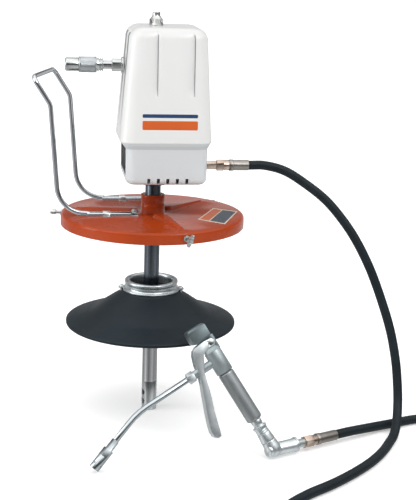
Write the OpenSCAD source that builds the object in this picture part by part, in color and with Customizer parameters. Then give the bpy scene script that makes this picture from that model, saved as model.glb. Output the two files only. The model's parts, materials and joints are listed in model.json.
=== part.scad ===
// Air-operated grease pump for a round pail, with its hose and lever grease gun.
// The origin is on the pump's axis, in the plane of the cover's underside, which rests on the pail's rim.
// +Z is up, the air inlet points to -X and the grease outlet to +X.

/* [Cover] */
// Outer diameter of the pail cover
cover_d = 318; // [300:1:340]
// Thickness of the cover's sheet
cover_t = 1.5; // [1.2:0.1:2]
// Depth of the skirt below the cover's underside
skirt_h = 18; // [15:1:26]
// Outer radius of the cover's rolled edge
edge_r = 5; // [3:0.5:6]
// Diameter of the collar round the pump tube
collar_d = 41; // [38:1:46]
// Height of the collar's top above the cover's underside
collar_top = 34; // [30:1:40]
// Diameter of the cover's thumb screws
thumb_d = 6; // [5:0.5:7]

/* [Handle] */
// Diameter of the handle's rod
handle_rod_d = 8; // [7:0.5:9]
// Height of the handle's crossbar above the cover's underside
handle_top = 236; // [220:1:250]
// Distance between the handle's two legs
handle_gap = 129; // [120:1:136]

/* [Pump tube] */
// Outer diameter of the pump tube
tube_d = 26.7; // [26:0.1:28]
// Inner diameter of the pump tube
tube_bore_d = 21; // [20:0.1:21.4]
// Reach of the pump tube below the cover's underside
tube_reach = 308; // [290:1:340]
// Length of the foot valve below the pump tube
foot_len = 54; // [50:1:64]
// Diameter of the pump rod
rod_d = 12; // [10:0.5:13]

/* [Air motor] */
// Bore of the air cylinder
cylinder_bore_d = 76; // [70:1:78]
// Wall of the air cylinder
cylinder_wall = 4; // [3:0.5:4.5]
// Length of the air cylinder
cylinder_len = 107; // [104:1:112]
// Side of the square cylinder head and of the base flange
head_side = 92; // [92:1:94]
// Height of the cylinder head
head_h = 50; // [44:1:54]

/* [Hood and shroud] */
// Thickness of the hood's and the shroud's sheet
sheet_t = 1.5; // [1.2:0.1:2]
// Width of the hood at its foot
hood_foot_w = 153; // [150:1:160]
// Width of the hood at its shoulder
hood_shoulder_w = 130.5; // [126:1:136]
// Depth of the hood at its foot
hood_foot_depth = 155; // [150:1:160]
// Depth of the hood at its shoulder
hood_shoulder_depth = 134; // [130:1:140]
// Height of the hood
hood_h = 188; // [184:1:196]
// Radius of the hood's top edge
hood_top_r = 21; // [16:1:24]
// Radius of the hood's upright corners
hood_corner_r = 22; // [18:1:26]
// Height of the lower shroud
shroud_h = 72; // [70:1:74]

/* [Follower] */
// Outer diameter of the follower's rubber
follower_d = 299.6; // [280:1:306]
// Thickness of the follower's rubber
follower_t = 4.5; // [3:0.5:6]
// Drop of the follower's rubber from its web to its rim
follower_drop = 55.5; // [45:1:60]
// Depth of the follower's web below the cover's underside
follower_z = 137; // [130:1:150]

/* [Hose and fittings] */
// Outer diameter of the hose
hose_d = 16; // [14:0.5:17]
// Diameter of the hose's ferrules
ferrule_d = 18; // [17:0.5:20]
// Thread diameter of the air inlet
air_thread_d = 11.4; // [10:0.1:12]

/* [Grease gun] */
// Diameter of the gun's grip
grip_d = 27; // [24:0.5:30]
// Length of the gun's grip
grip_len = 94; // [90:1:110]
// Width of the gun's lever across its two cheeks
lever_w = 20; // [18:0.5:23]
// Diameter of the gun's extension pipe
pipe_d = 10; // [9:0.5:11]
// Straight run of the extension pipe before its bend
pipe_run = 101; // [90:1:120]
// Diameter of the grease coupler's sleeve
coupler_d = 17.5; // [16:0.5:19]
// Diameter of the grease coupler's mouth
coupler_mouth_d = 10; // [9:0.1:11]

/* [Hidden] */
$fn = 64;

// Clearances and overruns shared by all pieces
over = 1;
run_fit = 0.08;
seat_fit = 0.05;
soft_gap = 0.3;

// Cover
cover_r = cover_d / 2;
collar_r = collar_d / 2;
slide_hole_r = tube_d / 2 + soft_gap;
rib_angles = [45, 165, 285];
rib_foot_w = 30;
rib_tip_w = 14;
rib_foot_h = 7;
rib_tip_h = 3.5;
rib_slope = 4;
rib_gap = 3.5;
rib_reach_share = 0.86;
rib_root_r = collar_r + rib_gap;
rib_tip_r = rib_reach_share * cover_r;
band_z = 17;
band_h = 5;
band_depth = 0.8;
thumb_r = thumb_d / 2;
thumb_z = -8;
thumb_tip_inset = 2;
thumb_head_reach = 19;
thumb_hub_len = 6;
thumb_hub_r = 4.5;
thumb_wing_t = 3;
thumb_wing_r = 4.5;
thumb_wing_out = 6.5;
thumb_wing_turns = [0, 0, 65];
skirt_nut_af = 10;
skirt_nut_h = 4.5;
collar_screw_angle = 100;
collar_screw_z = 26;
collar_screw_r = 3;
collar_screw_head = 9;
collar_screw_head_h = 8;
collar_screw_neck = 2;

// Handle
handle_r = handle_rod_d / 2;
handle_lift = cover_t + handle_r + soft_gap;
handle_near_y = -27;
handle_far_y = handle_near_y + handle_gap;
handle_far_shift = 36;
handle_foot_bend_r = 48;
handle_knee_r = 25;
handle_top_r = 12;
handle_foot_x = -162.5;
handle_knee_x = -176;
handle_knee_drop = 46;
handle_knee_z = handle_top - handle_knee_drop;
handle_top_x = -205;
foot_bar_r = 5.5;
foot_bar_h = 7;
tip_h = 5;
foot_near_x = -28;
foot_near_len = 87;
foot_far_x = 6;
foot_far_len = 88;
stud_inset = 6;
stud_r = 3;
stud_end = 1;
handle_nut_af = 10;
handle_nut_h = 5;
clamp_len = 12;
clamp_tab = 6;
clamp_t = 1.5;
clamp_near_x = -82;
clamp_far_x = -46;

// Pump tube, foot valve and plunger
tube_r = tube_d / 2;
bore_r = tube_bore_d / 2;
foot_z = -tube_reach - foot_len;
foot_floor_drop = 14;
foot_floor_z = -tube_reach - foot_floor_drop;
foot_spigot_len = 18;
foot_spigot_top = -tube_reach + foot_spigot_len;
foot_cage_wall = 1.5;
foot_cage_r = bore_r - foot_cage_wall;
foot_throat_r = 7.5;
foot_port_r = 5.5;
foot_port_angle = 22;
foot_port_drops = [21, 38];
foot_ports_z = [for (drop = foot_port_drops) -tube_reach - drop];
foot_seat_h = 8;
foot_seat_bore_r = 4.5;
foot_ball_r = 6.5;
foot_ball_lift = sqrt(pow(foot_ball_r, 2) - pow(foot_seat_bore_r, 2)) + soft_gap;
stop_pin_r = 1.5;
stop_pin_drop = 3.5;
stop_pin_z = foot_spigot_top - stop_pin_drop;
rod_r = rod_d / 2;
plunger_len = 38;
plunger_rest = 6;
plunger_z = foot_spigot_top + plunger_rest;
plunger_top = plunger_z + plunger_len;
plunger_r = bore_r - run_fit;
plunger_seat_r = 4;
plunger_seat_h = 6;
plunger_cage_r = 6.8;
plunger_cage_h = 17;
plunger_port_r = 2;
plunger_ball_r = 5.5;
plunger_ball_lift = sqrt(pow(plunger_ball_r, 2) - pow(plunger_seat_r, 2)) + soft_gap;
plunger_groove_z = 26;
plunger_groove_h = 5;
plunger_groove_depth = 2;
rod_spigot_r = 4;
rod_spigot_len = 9;

// Pump base and air motor
shroud_z = 62;
lock_nut_h = 9;
lock_nut_r = 25;
base_z = shroud_z + sheet_t;
base_body_r = 30;
base_flange_rise = 46;
base_flange_z = shroud_z + base_flange_rise;
base_flange_h = 10;
motor_z = base_flange_z + base_flange_h;
tube_seat_depth = 12;
tube_top = base_z + tube_seat_depth;
packing_rise = 20;
packing_z = tube_top + packing_rise;
packing_h = 15;
packing_r = 10;
outlet_rise = 23;
outlet_z = shroud_z + outlet_rise;
outlet_boss_r = 14;
outlet_boss_x = 82;
outlet_way_r = 4.5;
outlet_thread_r = 6.6;
outlet_thread_len = 14;
cylinder_r = cylinder_bore_d / 2 + cylinder_wall;
head_z = motor_z + cylinder_len;
head_top = head_z + head_h;
bolt_inset = 8;
bolt_place = head_side / 2 - bolt_inset;
bolt_r = 4;
bolt_head_af = 13;
bolt_head_h = 6;
bolt_blind = 2;
inlet_share = 0.6;
inlet_z = head_z + inlet_share * head_h;
inlet_way_r = 4.5;
spool_r = 8;
spool_len = 62;
spool_waist_r = 5;
spool_land = 12;
spool_rest_y = -4;
cap_r = 11;
cap_plug_len = 5;
cap_head_h = 4;
cap_af = 24;
piston_h = 22;
piston_gap = 1;
piston_z = motor_z + piston_gap;
piston_r = cylinder_bore_d / 2 - run_fit;
piston_groove_h = 6;
piston_groove_depth = 4;
rod_thread_len = 6;
rod_top = piston_z + piston_h + rod_thread_len;
muffler_x = -38;
muffler_y = -36;
muffler_r = 9;
muffler_len = 36;
muffler_neck_r = 5;
muffler_neck_len = 5;
muffler_groove = 1;

// Hood and lower shroud
hood_z = shroud_z + shroud_h;
hood_top = hood_z + hood_h;
hood_foot_x = -62;
hood_shoulder_x = -48.5;
hood_shoulder_z = hood_top - hood_top_r;
hood_corner_share = 0.6;
hood_steps = 6;
corner_steps = 6;
hood_stud_r = 5;
hood_stud_blind = 8;
hood_nut_af = 20;
hood_nut_h = 11;
hood_nut_cone_h = 5;
hood_cap_r = 6.5;
hood_cap_h = 6;
hood_washer_r = 12;
shroud_left = -53;
shroud_right = 85;
shroud_half = 70;
shroud_corner_r = 18;
shroud_bottom_r = 11;
shroud_flare_h = 11;
shroud_seam_inset = 0.6;
opening_rise = 15;
opening_drop = 5;
opening_z0 = shroud_z + opening_rise;
opening_z1 = hood_z - opening_drop;
opening_half = 56;
slot_count = 5;
slot_x0 = -14.3;
slot_pitch = 16;
slot_w = 5;
slot_rise = 3;
slot_z0 = shroud_z + slot_rise;
slot_h = 9;

// Air inlet and its coupler
nipple_end_x = 30;
nipple_washer_x = 57.5;
nipple_washer_t = 3.5;
nipple_washer_r = 13.7;
nipple_hex_len = 16;
nipple_hex_af = 18.8;
nipple_thread_r = 6.5;
neck_r = 7;
neck_end_x = 95;
nose_x = 88.3;
sleeve_x = 99.3;
sleeve_len = 29.5;
sleeve_r = 13.25;
sleeve_bore_r = 11.55;
nose_r = 10.5;
nose_groove_r = 9.3;
nose_groove_w = 1.6;
nose_groove_gap = 3.4;
end_nut_r = 11.25;
end_nut_len = 22.8;
end_nut_round = 3;
end_thread_len = 12;

// Outlet, ferrules and hose
adapter_x = shroud_right;
adapter_af = 13;
adapter_len = 25;
adapter_nose_r = 5;
adapter_nose_len = 8;
hose_nut_af = 17;
hose_nut_len = 12;
hose_nut_tail_r = 8.8;
hose_nut_tail_len = 9.6;
ferrule_collar_r = 9.85;
ferrule_collar_len = 7.4;
ferrule_len = 27;
ferrule_r = ferrule_d / 2;
ferrule_bore_r = 4;
hose_sides = 10;
rod_sides = 16;
bend_step = 9;
hose_rings = 78;
hose_start = [adapter_x + adapter_len + hose_nut_len + hose_nut_tail_len
    + ferrule_collar_len + ferrule_len, 0, outlet_z];
hose_route = [
    [196, 0, 84.5], [232, -3, 75], [270, -7, 52], [304, -14, 26], [332, -23, -5],
    [357, -35, -41], [382, -50, -90], [403, -66, -146], [418, -81, -197], [426, -97, -246],
    [428, -112, -288], [426, -127, -318], [419, -149, -340.5], [406, -178, -352],
    [389, -207, -354], [368, -241, -354], [339, -278, -354], [300, -317, -354],
    [256, -354, -354], [208, -388, -354], [168, -426, -354], [146, -472, -354],
    [149, -520, -354], [178, -560, -354], [222, -581, -354], [278, -581, -354],
    [358, -556, -354], [434, -506, -354], [495, -436, -354], [538, -352, -354],
    [562, -262, -354], [566, -188, -354], [552, -142, -354], [520, -113, -354],
    [474, -105, -354], [418, -124, -353.5], [365, -150.5, -349.5], [328, -168, -347.5]
];

// Grease gun: its swivel elbow lies near the floor, and its handle leans up from there
elbow = [185, -233, -347.5];
hose_yaw = 24.5;
gun_yaw = 6.4;
gun_lean = 22;
gun_tilt = 29.3;
elbow_r = 11;
elbow_swell = 2.2;
elbow_hollow_r = 5;
elbow_way_r = 3.5;
elbow_flange_r = 12.5;
elbow_block_len = 42;
elbow_len = 45;
elbow_top = 17;
elbow_top_r = 10;
swivel_pin_r = 7;
swivel_pin_len = 22;
swivel_gap = 0.3;
stem_r = 7.3;
stem_flange_r = 9.5;
stem_flange_t = 2.5;
stem_len = 17;
gun_nut_af = 19;
gun_nut_len = 25;
gun_ferrule_len = 42;
barrel_r = 11.3;
barrel_groove_r = 10.6;
barrel_groove_w = 1.2;
barrel_grooves_at = [8, 14, 20];
barrel_len = 29;
neck_len = 12;
neck_gun_r = 9;
neck_groove_r = 7.5;
neck_groove_w = 2;
grip_r = grip_d / 2;
grip_round = 5;
grip_bore_r = 4;
gun_z = elbow_top + barrel_len + neck_len;
body_z = gun_z + grip_len;
housing_r = 14.5;
housing_len = 40;
head_len = 25;
head_w = 33;
head_half = 15;
head_x = 10;
head_edge = 3;
neck_half = 7.5;
neck_w = 26;
neck_x = 14;
gun_neck_len = 24;
lever_half = lever_w / 2;
cheek_t = 2;
web_t = 2.5;
pivot_x = 4;
pivot_rise = 54;
pivot_z = body_z + pivot_rise;
pivot_r = 2.5;
pivot_head_r = 4.2;
pivot_head_t = 1.6;
lever_reach = 79;
lever_drop = 137;
lever_web_drop = 0.34;
gun_outlet_rise = 23;
gun_outlet_z = body_z + gun_outlet_rise;
gun_outlet_r = 7;
gun_outlet_x = 48;
gun_outlet_nut_af = 17;
gun_outlet_nut_len = 12;
gun_way_r = 2;
stem_valve_r = 2.5;
stem_valve_head_r = 5;
stem_valve_rise = 30;
stem_valve_z = body_z + stem_valve_rise;
stem_valve_len = 26;
stem_valve_head_h = 3;
stem_bore_r = 6;
stem_bore_rise = 6;
stem_bore_z = body_z + stem_bore_rise;
spring_r = 4.5;
spring_wire_r = 0.6;
spring_turns = 5;
spring_steps = 12;
spring_sides = 6;
pipe_r = pipe_d / 2;
pipe_bore_r = 3;
pipe_bend_r = 120;
pipe_bend = 18.5;
pipe_end = 54;
adapter_gun_af = 11;
adapter_gun_len = 18;
coupler_hex_af = 15.5;
coupler_hex_len = 14;
coupler_sleeve_len = 24;
coupler_mouth_len = 10;
coupler_slot_w = 2.4;
coupler_slot_len = 9;

// Follower
follower_web_r = 47;
follower_web_t = 4;
follower_ring_r = 47;
follower_ring_bore_r = 37.5;
follower_ring_h = 18;
follower_flange_r = 50;
follower_flange_t = 3;
follower_lug_r = 5.5;
follower_screw_at = 52;
follower_screw_r = 2.5;
follower_dome_r = 4.5;
follower_dome_h = 3.5;
follower_nut_af = 8;
follower_nut_h = 4;
follower_nut_drop = 11.5;
follower_screw_len = follower_flange_t + follower_nut_drop + follower_nut_h + over;
follower_screw_angles = [171.5, -8.5];
// Outline of the rubber's upper face, as shares of its width and its drop
follower_shares = [[0, 0], [0.03, 0.02], [0.06, 0.08], [0.24, 0.3], [0.42, 0.53], [0.57, 0.72],
    [0.66, 0.79], [0.76, 0.86], [1, 1]];

// Outline of the lever's cheeks, as shares of its reach and its drop from the pivot
lever_shares = [[-0.32, 0.05], [-0.41, 0.03], [-0.46, -0.01], [-0.5, -0.07], [-0.54, -0.14],
    [-0.59, -0.28], [-0.65, -0.38], [-0.72, -0.47], [-0.85, -0.65], [-0.97, -0.83], [-1, -0.9],
    [-1, -0.96], [-0.95, -1], [-0.86, -1], [-0.83, -0.95], [-0.8, -0.89], [-0.71, -0.71],
    [-0.61, -0.56], [-0.55, -0.45], [-0.5, -0.34], [-0.44, -0.24], [-0.34, -0.15], [-0.26, -0.07],
    [-0.1, -0.045], [0.05, -0.045], [0.09, 0], [0.05, 0.045], [-0.13, 0.06]];

// Vector and outline helpers
function unit(v) = v / norm(v);
function hex_r(af) = af / sqrt(3);
function ring_points(x0, x1, half, r, z) = [
    for (corner = [0:3]) for (k = [0:corner_steps])
        let (a = 90 * corner + 90 * k / corner_steps,
            cx = corner == 0 || corner == 3 ? x1 - r : x0 + r,
            cy = corner < 2 ? half - r : r - half)
        [cx + r * cos(a), cy + r * sin(a), z]
];

// A closed solid through rings of points, from the lowest ring to the highest
module loft(rings) {
    m = len(rings[0]);
    last = (len(rings) - 1) * m;
    sides = [for (i = [0:len(rings) - 2]) for (j = [0:m - 1])
        [i * m + j, (i + 1) * m + j, (i + 1) * m + (j + 1) % m, i * m + (j + 1) % m]];
    polyhedron(points = [for (ring = rings) for (p = ring) p],
        faces = concat([[for (j = [0:m - 1]) j]], sides,
            [[for (j = [m - 1:-1:0]) last + j]]));
}

// Point of a smooth curve through a route, at a place counted in the route's points
function route_at(route, u) =
    let (i = min(floor(u), len(route) - 2), t = u - i,
        b = route[i], c = route[i + 1],
        a = i > 0 ? route[i - 1] : 2 * b - c,
        d = i < len(route) - 2 ? route[i + 2] : 2 * c - b)
    0.5 * (2 * b + (c - a) * t + (2 * a - 5 * b + 4 * c - d) * t * t
        + (3 * b - a - 3 * c + d) * t * t * t);

// A round tube through a list of points, whose rings are carried along without twist
module sweep(path, r, sides) {
    n = len(path);
    heading = [for (i = [0:n - 1]) unit(path[min(i + 1, n - 1)] - path[max(i - 1, 0)])];
    start = unit(cross(heading[0], abs(heading[0][2]) < 0.8 ? [0, 0, 1] : [0, 1, 0]));
    across = [for (i = 0, side = start; i < n;
        i = i + 1, side = i < n ? unit(side - (side * heading[i]) * heading[i]) : side) side];
    rings = [for (i = [0:n - 1]) let (up = cross(across[i], heading[i]))
        [for (k = [0:sides - 1])
            path[i] + r * (cos(360 * k / sides) * across[i] + sin(360 * k / sides) * up)]];
    skin = [for (i = [0:n - 2]) for (k = [0:sides - 1])
        let (a = i * sides + k, b = i * sides + (k + 1) % sides, c = a + sides, d = b + sides)
        each [[a, b, d], [a, d, c]]];
    polyhedron(points = [for (ring = rings) for (p = ring) p],
        faces = concat(skin, [[for (k = [sides - 1:-1:0]) k]],
            [[for (k = [0:sides - 1]) (n - 1) * sides + k]]));
}

// Path of a bent rod along corner points, with one bend radius for each inner corner
function bend_path(points, bends) = let (
        n = len(points),
        way = [for (i = [0:n - 2]) unit(points[i + 1] - points[i])],
        turn = [for (i = [0:n - 3]) acos(way[i] * way[i + 1])])
    concat([points[0]], [
        for (i = [0:n - 3])
            let (inward = unit(way[i + 1] - cos(turn[i]) * way[i]),
                steps = max(2, ceil(turn[i] / bend_step)))
            for (k = [0:steps]) let (a = turn[i] * k / steps)
                points[i + 1] - bends[i] * tan(turn[i] / 2) * way[i]
                    + bends[i] * (sin(a) * way[i] + (1 - cos(a)) * inward)
    ], [points[n - 1]]);

// A tube or a hexagon along the axis, from one height to another
module pipe(r, bore, z0, z1) {
    difference() {
        translate([0, 0, z0]) cylinder(r = r, h = z1 - z0);
        translate([0, 0, z0 - over]) cylinder(r = bore, h = z1 - z0 + 2 * over);
    }
}
module hex_pipe(af, bore, z0, z1) {
    difference() {
        translate([0, 0, z0]) cylinder(r = hex_r(af), h = z1 - z0, $fn = 6);
        translate([0, 0, z0 - over]) cylinder(r = bore, h = z1 - z0 + 2 * over);
    }
}
// A cylinder whose far edge is rounded
module round_end(r, h, edge) {
    rotate_extrude() {
        square([r - edge, h]);
        square([r, h - edge]);
        translate([r - edge, h - edge]) intersection() {
            circle(r = edge);
            square([edge, edge]);
        }
    }
}

// Places: the inlet side looks along -X, the outlet side along +X
module at_inlet() translate([0, 0, inlet_z]) rotate([0, -90, 0]) children();
module at_outlet() translate([0, 0, outlet_z]) rotate([0, 90, 0]) children();
module at_hose_end() translate(elbow) rotate([0, 0, hose_yaw]) rotate([0, 90, 0]) children();
module at_gun() translate(elbow) rotate([0, 0, gun_yaw]) rotate([-gun_lean, 0, 0])
    rotate([0, -gun_tilt, 0]) children();
module at_skirt(a) rotate([0, 0, a]) translate([0, 0, thumb_z]) rotate([0, 90, 0]) children();

// Cover
module cover_section(r, edge, top, foot) {
    translate([0, foot]) square([r - edge, top - foot]);
    translate([0, foot]) square([r, top - edge - foot]);
    translate([r - edge, top - edge]) circle(r = edge);
}
module rib(shrink, top_drop, foot) {
    foot_r = rib_foot_w / 2 - shrink;
    tip_r = rib_tip_w / 2 - shrink;
    hull() {
        translate([rib_root_r + rib_foot_w / 2, 0, foot])
            cylinder(r1 = foot_r, r2 = foot_r - rib_slope, h = rib_foot_h - top_drop - foot, $fn = 32);
        translate([rib_tip_r - rib_tip_w / 2, 0, foot])
            cylinder(r1 = tip_r, r2 = tip_r - rib_slope / 2, h = rib_tip_h - top_drop - foot, $fn = 32);
    }
}
module drum_cover() color("orangered") difference() {
    union() {
        difference() {
            rotate_extrude() cover_section(cover_r, edge_r, cover_t, -skirt_h);
            rotate_extrude() cover_section(cover_r - cover_t, edge_r - cover_t, 0, -skirt_h - over);
        }
        for (a = rib_angles) rotate([0, 0, a]) rib(0, 0, 0);
    }
    for (a = rib_angles) rotate([0, 0, a]) rib(cover_t, cover_t, -over);
    for (a = rib_angles) at_skirt(a) translate([0, 0, cover_r - cover_t - over])
        cylinder(r = thumb_r + soft_gap, h = cover_t + 2 * over);
    translate([0, 0, -over]) cylinder(r = slide_hole_r, h = cover_t + 2 * over);
}
module cover_collar() color("orangered") difference() {
    pipe(collar_r, slide_hole_r, cover_t, collar_top);
    pipe(collar_r + over, collar_r - band_depth, band_z, band_z + band_h);
    rotate([0, 0, collar_screw_angle]) translate([slide_hole_r - over, 0, collar_screw_z])
        rotate([0, 90, 0]) cylinder(r = collar_screw_r, h = collar_r);
}
module collar_screw() color("silver") rotate([0, 0, collar_screw_angle])
    translate([tube_r + soft_gap, 0, collar_screw_z]) rotate([0, 90, 0]) {
        head_at = collar_r + collar_screw_neck - tube_r;
        cylinder(r = collar_screw_r - seat_fit, h = head_at);
        translate([-collar_screw_head / 2, -collar_screw_head / 2, head_at])
            cube([collar_screw_head, collar_screw_head, collar_screw_head_h]);
    }

// Handle
// A bar with a flat underside and a round top, along +X; grow widens it all round but below
module foot_bar(length, grow) intersection() {
    translate([0, -foot_bar_r - grow, 0])
        cube([length, 2 * (foot_bar_r + grow), foot_bar_h + grow]);
    translate([0, 0, foot_bar_h - foot_bar_r]) rotate([0, 90, 0])
        cylinder(r = foot_bar_r + grow, h = length);
}
// A foot of the handle: the bar, and a flat tip that its stud goes through
module handle_foot(x, y, length) {
    tip_len = 2 * stud_inset;
    translate([x - length, y, cover_t]) foot_bar(length - tip_len, 0);
    difference() {
        translate([x - tip_len, y - foot_bar_r, cover_t]) cube([tip_len, 2 * foot_bar_r, tip_h]);
        translate([x - stud_inset, y, 0]) cylinder(r = stud_r + seat_fit, h = cover_t + tip_h + over);
    }
}
module bail_handle() color("silver") {
    far = [handle_far_shift, handle_gap, 0];
    sweep(bend_path([[foot_near_x - foot_near_len + handle_r, handle_near_y, handle_lift],
        [handle_foot_x, handle_near_y, handle_lift],
        [handle_knee_x, handle_near_y, handle_knee_z],
        [handle_top_x, handle_near_y, handle_top],
        [handle_top_x, handle_near_y, handle_top] + far,
        [handle_knee_x, handle_near_y, handle_knee_z] + far,
        [handle_foot_x, handle_near_y, handle_lift] + far,
        [foot_far_x - foot_far_len + handle_r, handle_far_y, handle_lift]],
        [handle_foot_bend_r, handle_knee_r, handle_top_r, handle_top_r, handle_knee_r,
            handle_foot_bend_r]), handle_r, rod_sides);
    handle_foot(foot_near_x, handle_near_y, foot_near_len);
    handle_foot(foot_far_x, handle_far_y, foot_far_len);
}
module strap(x, y) {
    translate([x - clamp_len / 2, y, cover_t]) difference() {
        union() {
            foot_bar(clamp_len, clamp_t);
            translate([0, -foot_bar_r - clamp_tab, 0])
                cube([clamp_len, 2 * (foot_bar_r + clamp_tab), clamp_t]);
        }
        translate([-over, 0, 0]) foot_bar(clamp_len + 2 * over, seat_fit);
        translate([-over, -foot_bar_r, -over]) cube([clamp_len + 2 * over, 2 * foot_bar_r, clamp_t]);
    }
}
module handle_clamps() color("gray") {
    strap(clamp_near_x, handle_near_y);
    strap(clamp_far_x, handle_far_y);
}
module handle_studs() color("silver") {
    for (p = [[foot_near_x, handle_near_y], [foot_far_x, handle_far_y]])
        translate([p[0] - stud_inset, p[1], cover_t])
            cylinder(r = stud_r, h = tip_h + handle_nut_h + stud_end);
}
module handle_nuts() color("silver") {
    for (p = [[foot_near_x, handle_near_y], [foot_far_x, handle_far_y]])
        translate([p[0] - stud_inset, p[1], 0])
            hex_pipe(handle_nut_af, stud_r + seat_fit, cover_t + tip_h, cover_t + tip_h + handle_nut_h);
}
module skirt_nuts() color("silver") {
    for (a = rib_angles) at_skirt(a)
        hex_pipe(skirt_nut_af, thumb_r, cover_r, cover_r + skirt_nut_h);
}
module thumb_screw(k) color("silver") at_skirt(rib_angles[k]) {
    hub_at = cover_r + thumb_head_reach - thumb_hub_len;
    tip_at = cover_r - cover_t - thumb_tip_inset;
    translate([0, 0, tip_at]) cylinder(r = thumb_r - run_fit, h = hub_at - tip_at);
    translate([0, 0, hub_at]) cylinder(r = thumb_hub_r, h = thumb_hub_len);
    rotate([0, 0, thumb_wing_turns[k]]) for (side = [-1, 1])
        translate([thumb_wing_t / 2, 0, hub_at]) rotate([0, -90, 0]) linear_extrude(height = thumb_wing_t) {
            translate([thumb_wing_r, side * thumb_wing_out]) circle(r = thumb_wing_r);
            translate([0, min(0, side * thumb_wing_out)]) square([thumb_wing_r, thumb_wing_out]);
        }
}
module thumb_screw_left() thumb_screw(1);
module thumb_screw_front() thumb_screw(2);
module thumb_screw_back() thumb_screw(0);

// Pump tube and foot valve
module pump_tube() color("slategray") pipe(tube_r, bore_r, -tube_reach, tube_top);
module foot_valve_body() color("slategray") difference() {
    union() {
        translate([0, 0, foot_z]) cylinder(r = tube_r, h = foot_len);
        translate([0, 0, -tube_reach - over])
            cylinder(r = bore_r - seat_fit, h = foot_spigot_top + tube_reach + over);
    }
    translate([0, 0, foot_floor_z]) cylinder(r = foot_cage_r, h = foot_len + tube_reach);
    translate([0, 0, foot_z - over]) cylinder(r = foot_throat_r, h = foot_len);
    for (z = foot_ports_z) translate([0, 0, z]) rotate([0, 90, foot_port_angle])
        translate([0, 0, -tube_d]) cylinder(r = foot_port_r, h = 2 * tube_d);
    translate([0, -bore_r, stop_pin_z]) rotate([-90, 0, 0])
        cylinder(r = stop_pin_r + seat_fit, h = tube_bore_d);
}
module foot_valve_seat() color("silver")
    pipe(foot_cage_r - seat_fit, foot_seat_bore_r, foot_floor_z, foot_floor_z + foot_seat_h);
module ball_stop_pin() color("silver") translate([0, -bore_r + run_fit, stop_pin_z])
    rotate([-90, 0, 0]) cylinder(r = stop_pin_r, h = tube_bore_d - 2 * run_fit);
module foot_ball() color("silver") translate([0, 0, foot_floor_z + foot_seat_h + foot_ball_lift])
    sphere(r = foot_ball_r);

// Pump base
module pump_base() color("dimgray") difference() {
    union() {
        translate([0, 0, base_z]) cylinder(r = base_body_r, h = base_flange_z - base_z);
        translate([-head_side / 2, -head_side / 2, base_flange_z])
            cube([head_side, head_side, base_flange_h]);
        at_outlet() cylinder(r = outlet_boss_r, h = outlet_boss_x);
    }
    translate([0, 0, base_z - over]) cylinder(r = tube_r + seat_fit, h = tube_seat_depth + over);
    translate([0, 0, base_z]) cylinder(r = bore_r, h = packing_z - base_z + over);
    translate([0, 0, packing_z]) cylinder(r = packing_r, h = packing_h);
    translate([0, 0, packing_z]) cylinder(r = rod_r + run_fit, h = motor_z - packing_z + over);
    at_outlet() {
        cylinder(r = outlet_way_r, h = outlet_boss_x + over);
        translate([0, 0, outlet_boss_x - outlet_thread_len])
            cylinder(r = outlet_thread_r, h = outlet_thread_len + over);
    }
    for (x = [-bolt_place, bolt_place]) for (y = [-bolt_place, bolt_place])
        translate([x, y, base_flange_z + bolt_blind])
            cylinder(r = bolt_r + seat_fit, h = base_flange_h);
}
module tube_lock_nut() color("dimgray") pipe(lock_nut_r, tube_r + seat_fit, shroud_z - lock_nut_h, shroud_z);
module rod_packing() color("black") pipe(packing_r, rod_r + run_fit, packing_z, packing_z + packing_h);

// Air motor
module air_cylinder() color("silver") pipe(cylinder_r, cylinder_bore_d / 2, motor_z, head_z);
module cylinder_head() color("gray") difference() {
    translate([-head_side / 2, -head_side / 2, head_z]) cube([head_side, head_side, head_h]);
    translate([0, -head_side / 2 - over, inlet_z]) rotate([-90, 0, 0])
        cylinder(r = spool_r + run_fit, h = head_side + 2 * over);
    for (side = [-1, 1]) translate([0, side * (head_side / 2 - cap_plug_len), inlet_z])
        rotate([-90 * side, 0, 0]) cylinder(r = cap_r, h = cap_plug_len + over);
    at_inlet() {
        cylinder(r = inlet_way_r, h = head_side);
        translate([0, 0, nipple_end_x]) cylinder(r = nipple_thread_r + seat_fit, h = head_side);
    }
    translate([0, 0, head_z - over]) cylinder(r = inlet_way_r, h = inlet_z - head_z);
    translate([0, 0, head_top - hood_stud_blind])
        cylinder(r = hood_stud_r + seat_fit, h = hood_stud_blind + over);
    for (x = [-bolt_place, bolt_place]) for (y = [-bolt_place, bolt_place])
        translate([x, y, head_z - over]) cylinder(r = bolt_r + seat_fit, h = head_h + 2 * over);
}
module tie_bolts() color("silver") {
    for (x = [-bolt_place, bolt_place]) for (y = [-bolt_place, bolt_place]) translate([x, y, 0]) {
        translate([0, 0, base_flange_z + bolt_blind])
            cylinder(r = bolt_r, h = head_top - base_flange_z - bolt_blind);
        translate([0, 0, head_top]) cylinder(r = hex_r(bolt_head_af), h = bolt_head_h, $fn = 6);
    }
}
module valve_caps() color("silver") {
    for (side = [-1, 1]) translate([0, side * (head_side / 2 - cap_plug_len), inlet_z])
        rotate([-90 * side, 0, 0]) {
            cylinder(r = cap_r - seat_fit, h = cap_plug_len);
            translate([0, 0, cap_plug_len]) cylinder(r = hex_r(cap_af), h = cap_head_h, $fn = 6);
        }
}
module valve_spool() color("silver") translate([0, spool_rest_y - spool_len / 2, inlet_z])
    rotate([-90, 0, 0]) {
        cylinder(r = spool_waist_r, h = spool_len);
        for (place_share = [0, 0.5, 1])
            translate([0, 0, place_share * (spool_len - spool_land)]) cylinder(r = spool_r, h = spool_land);
    }
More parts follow.
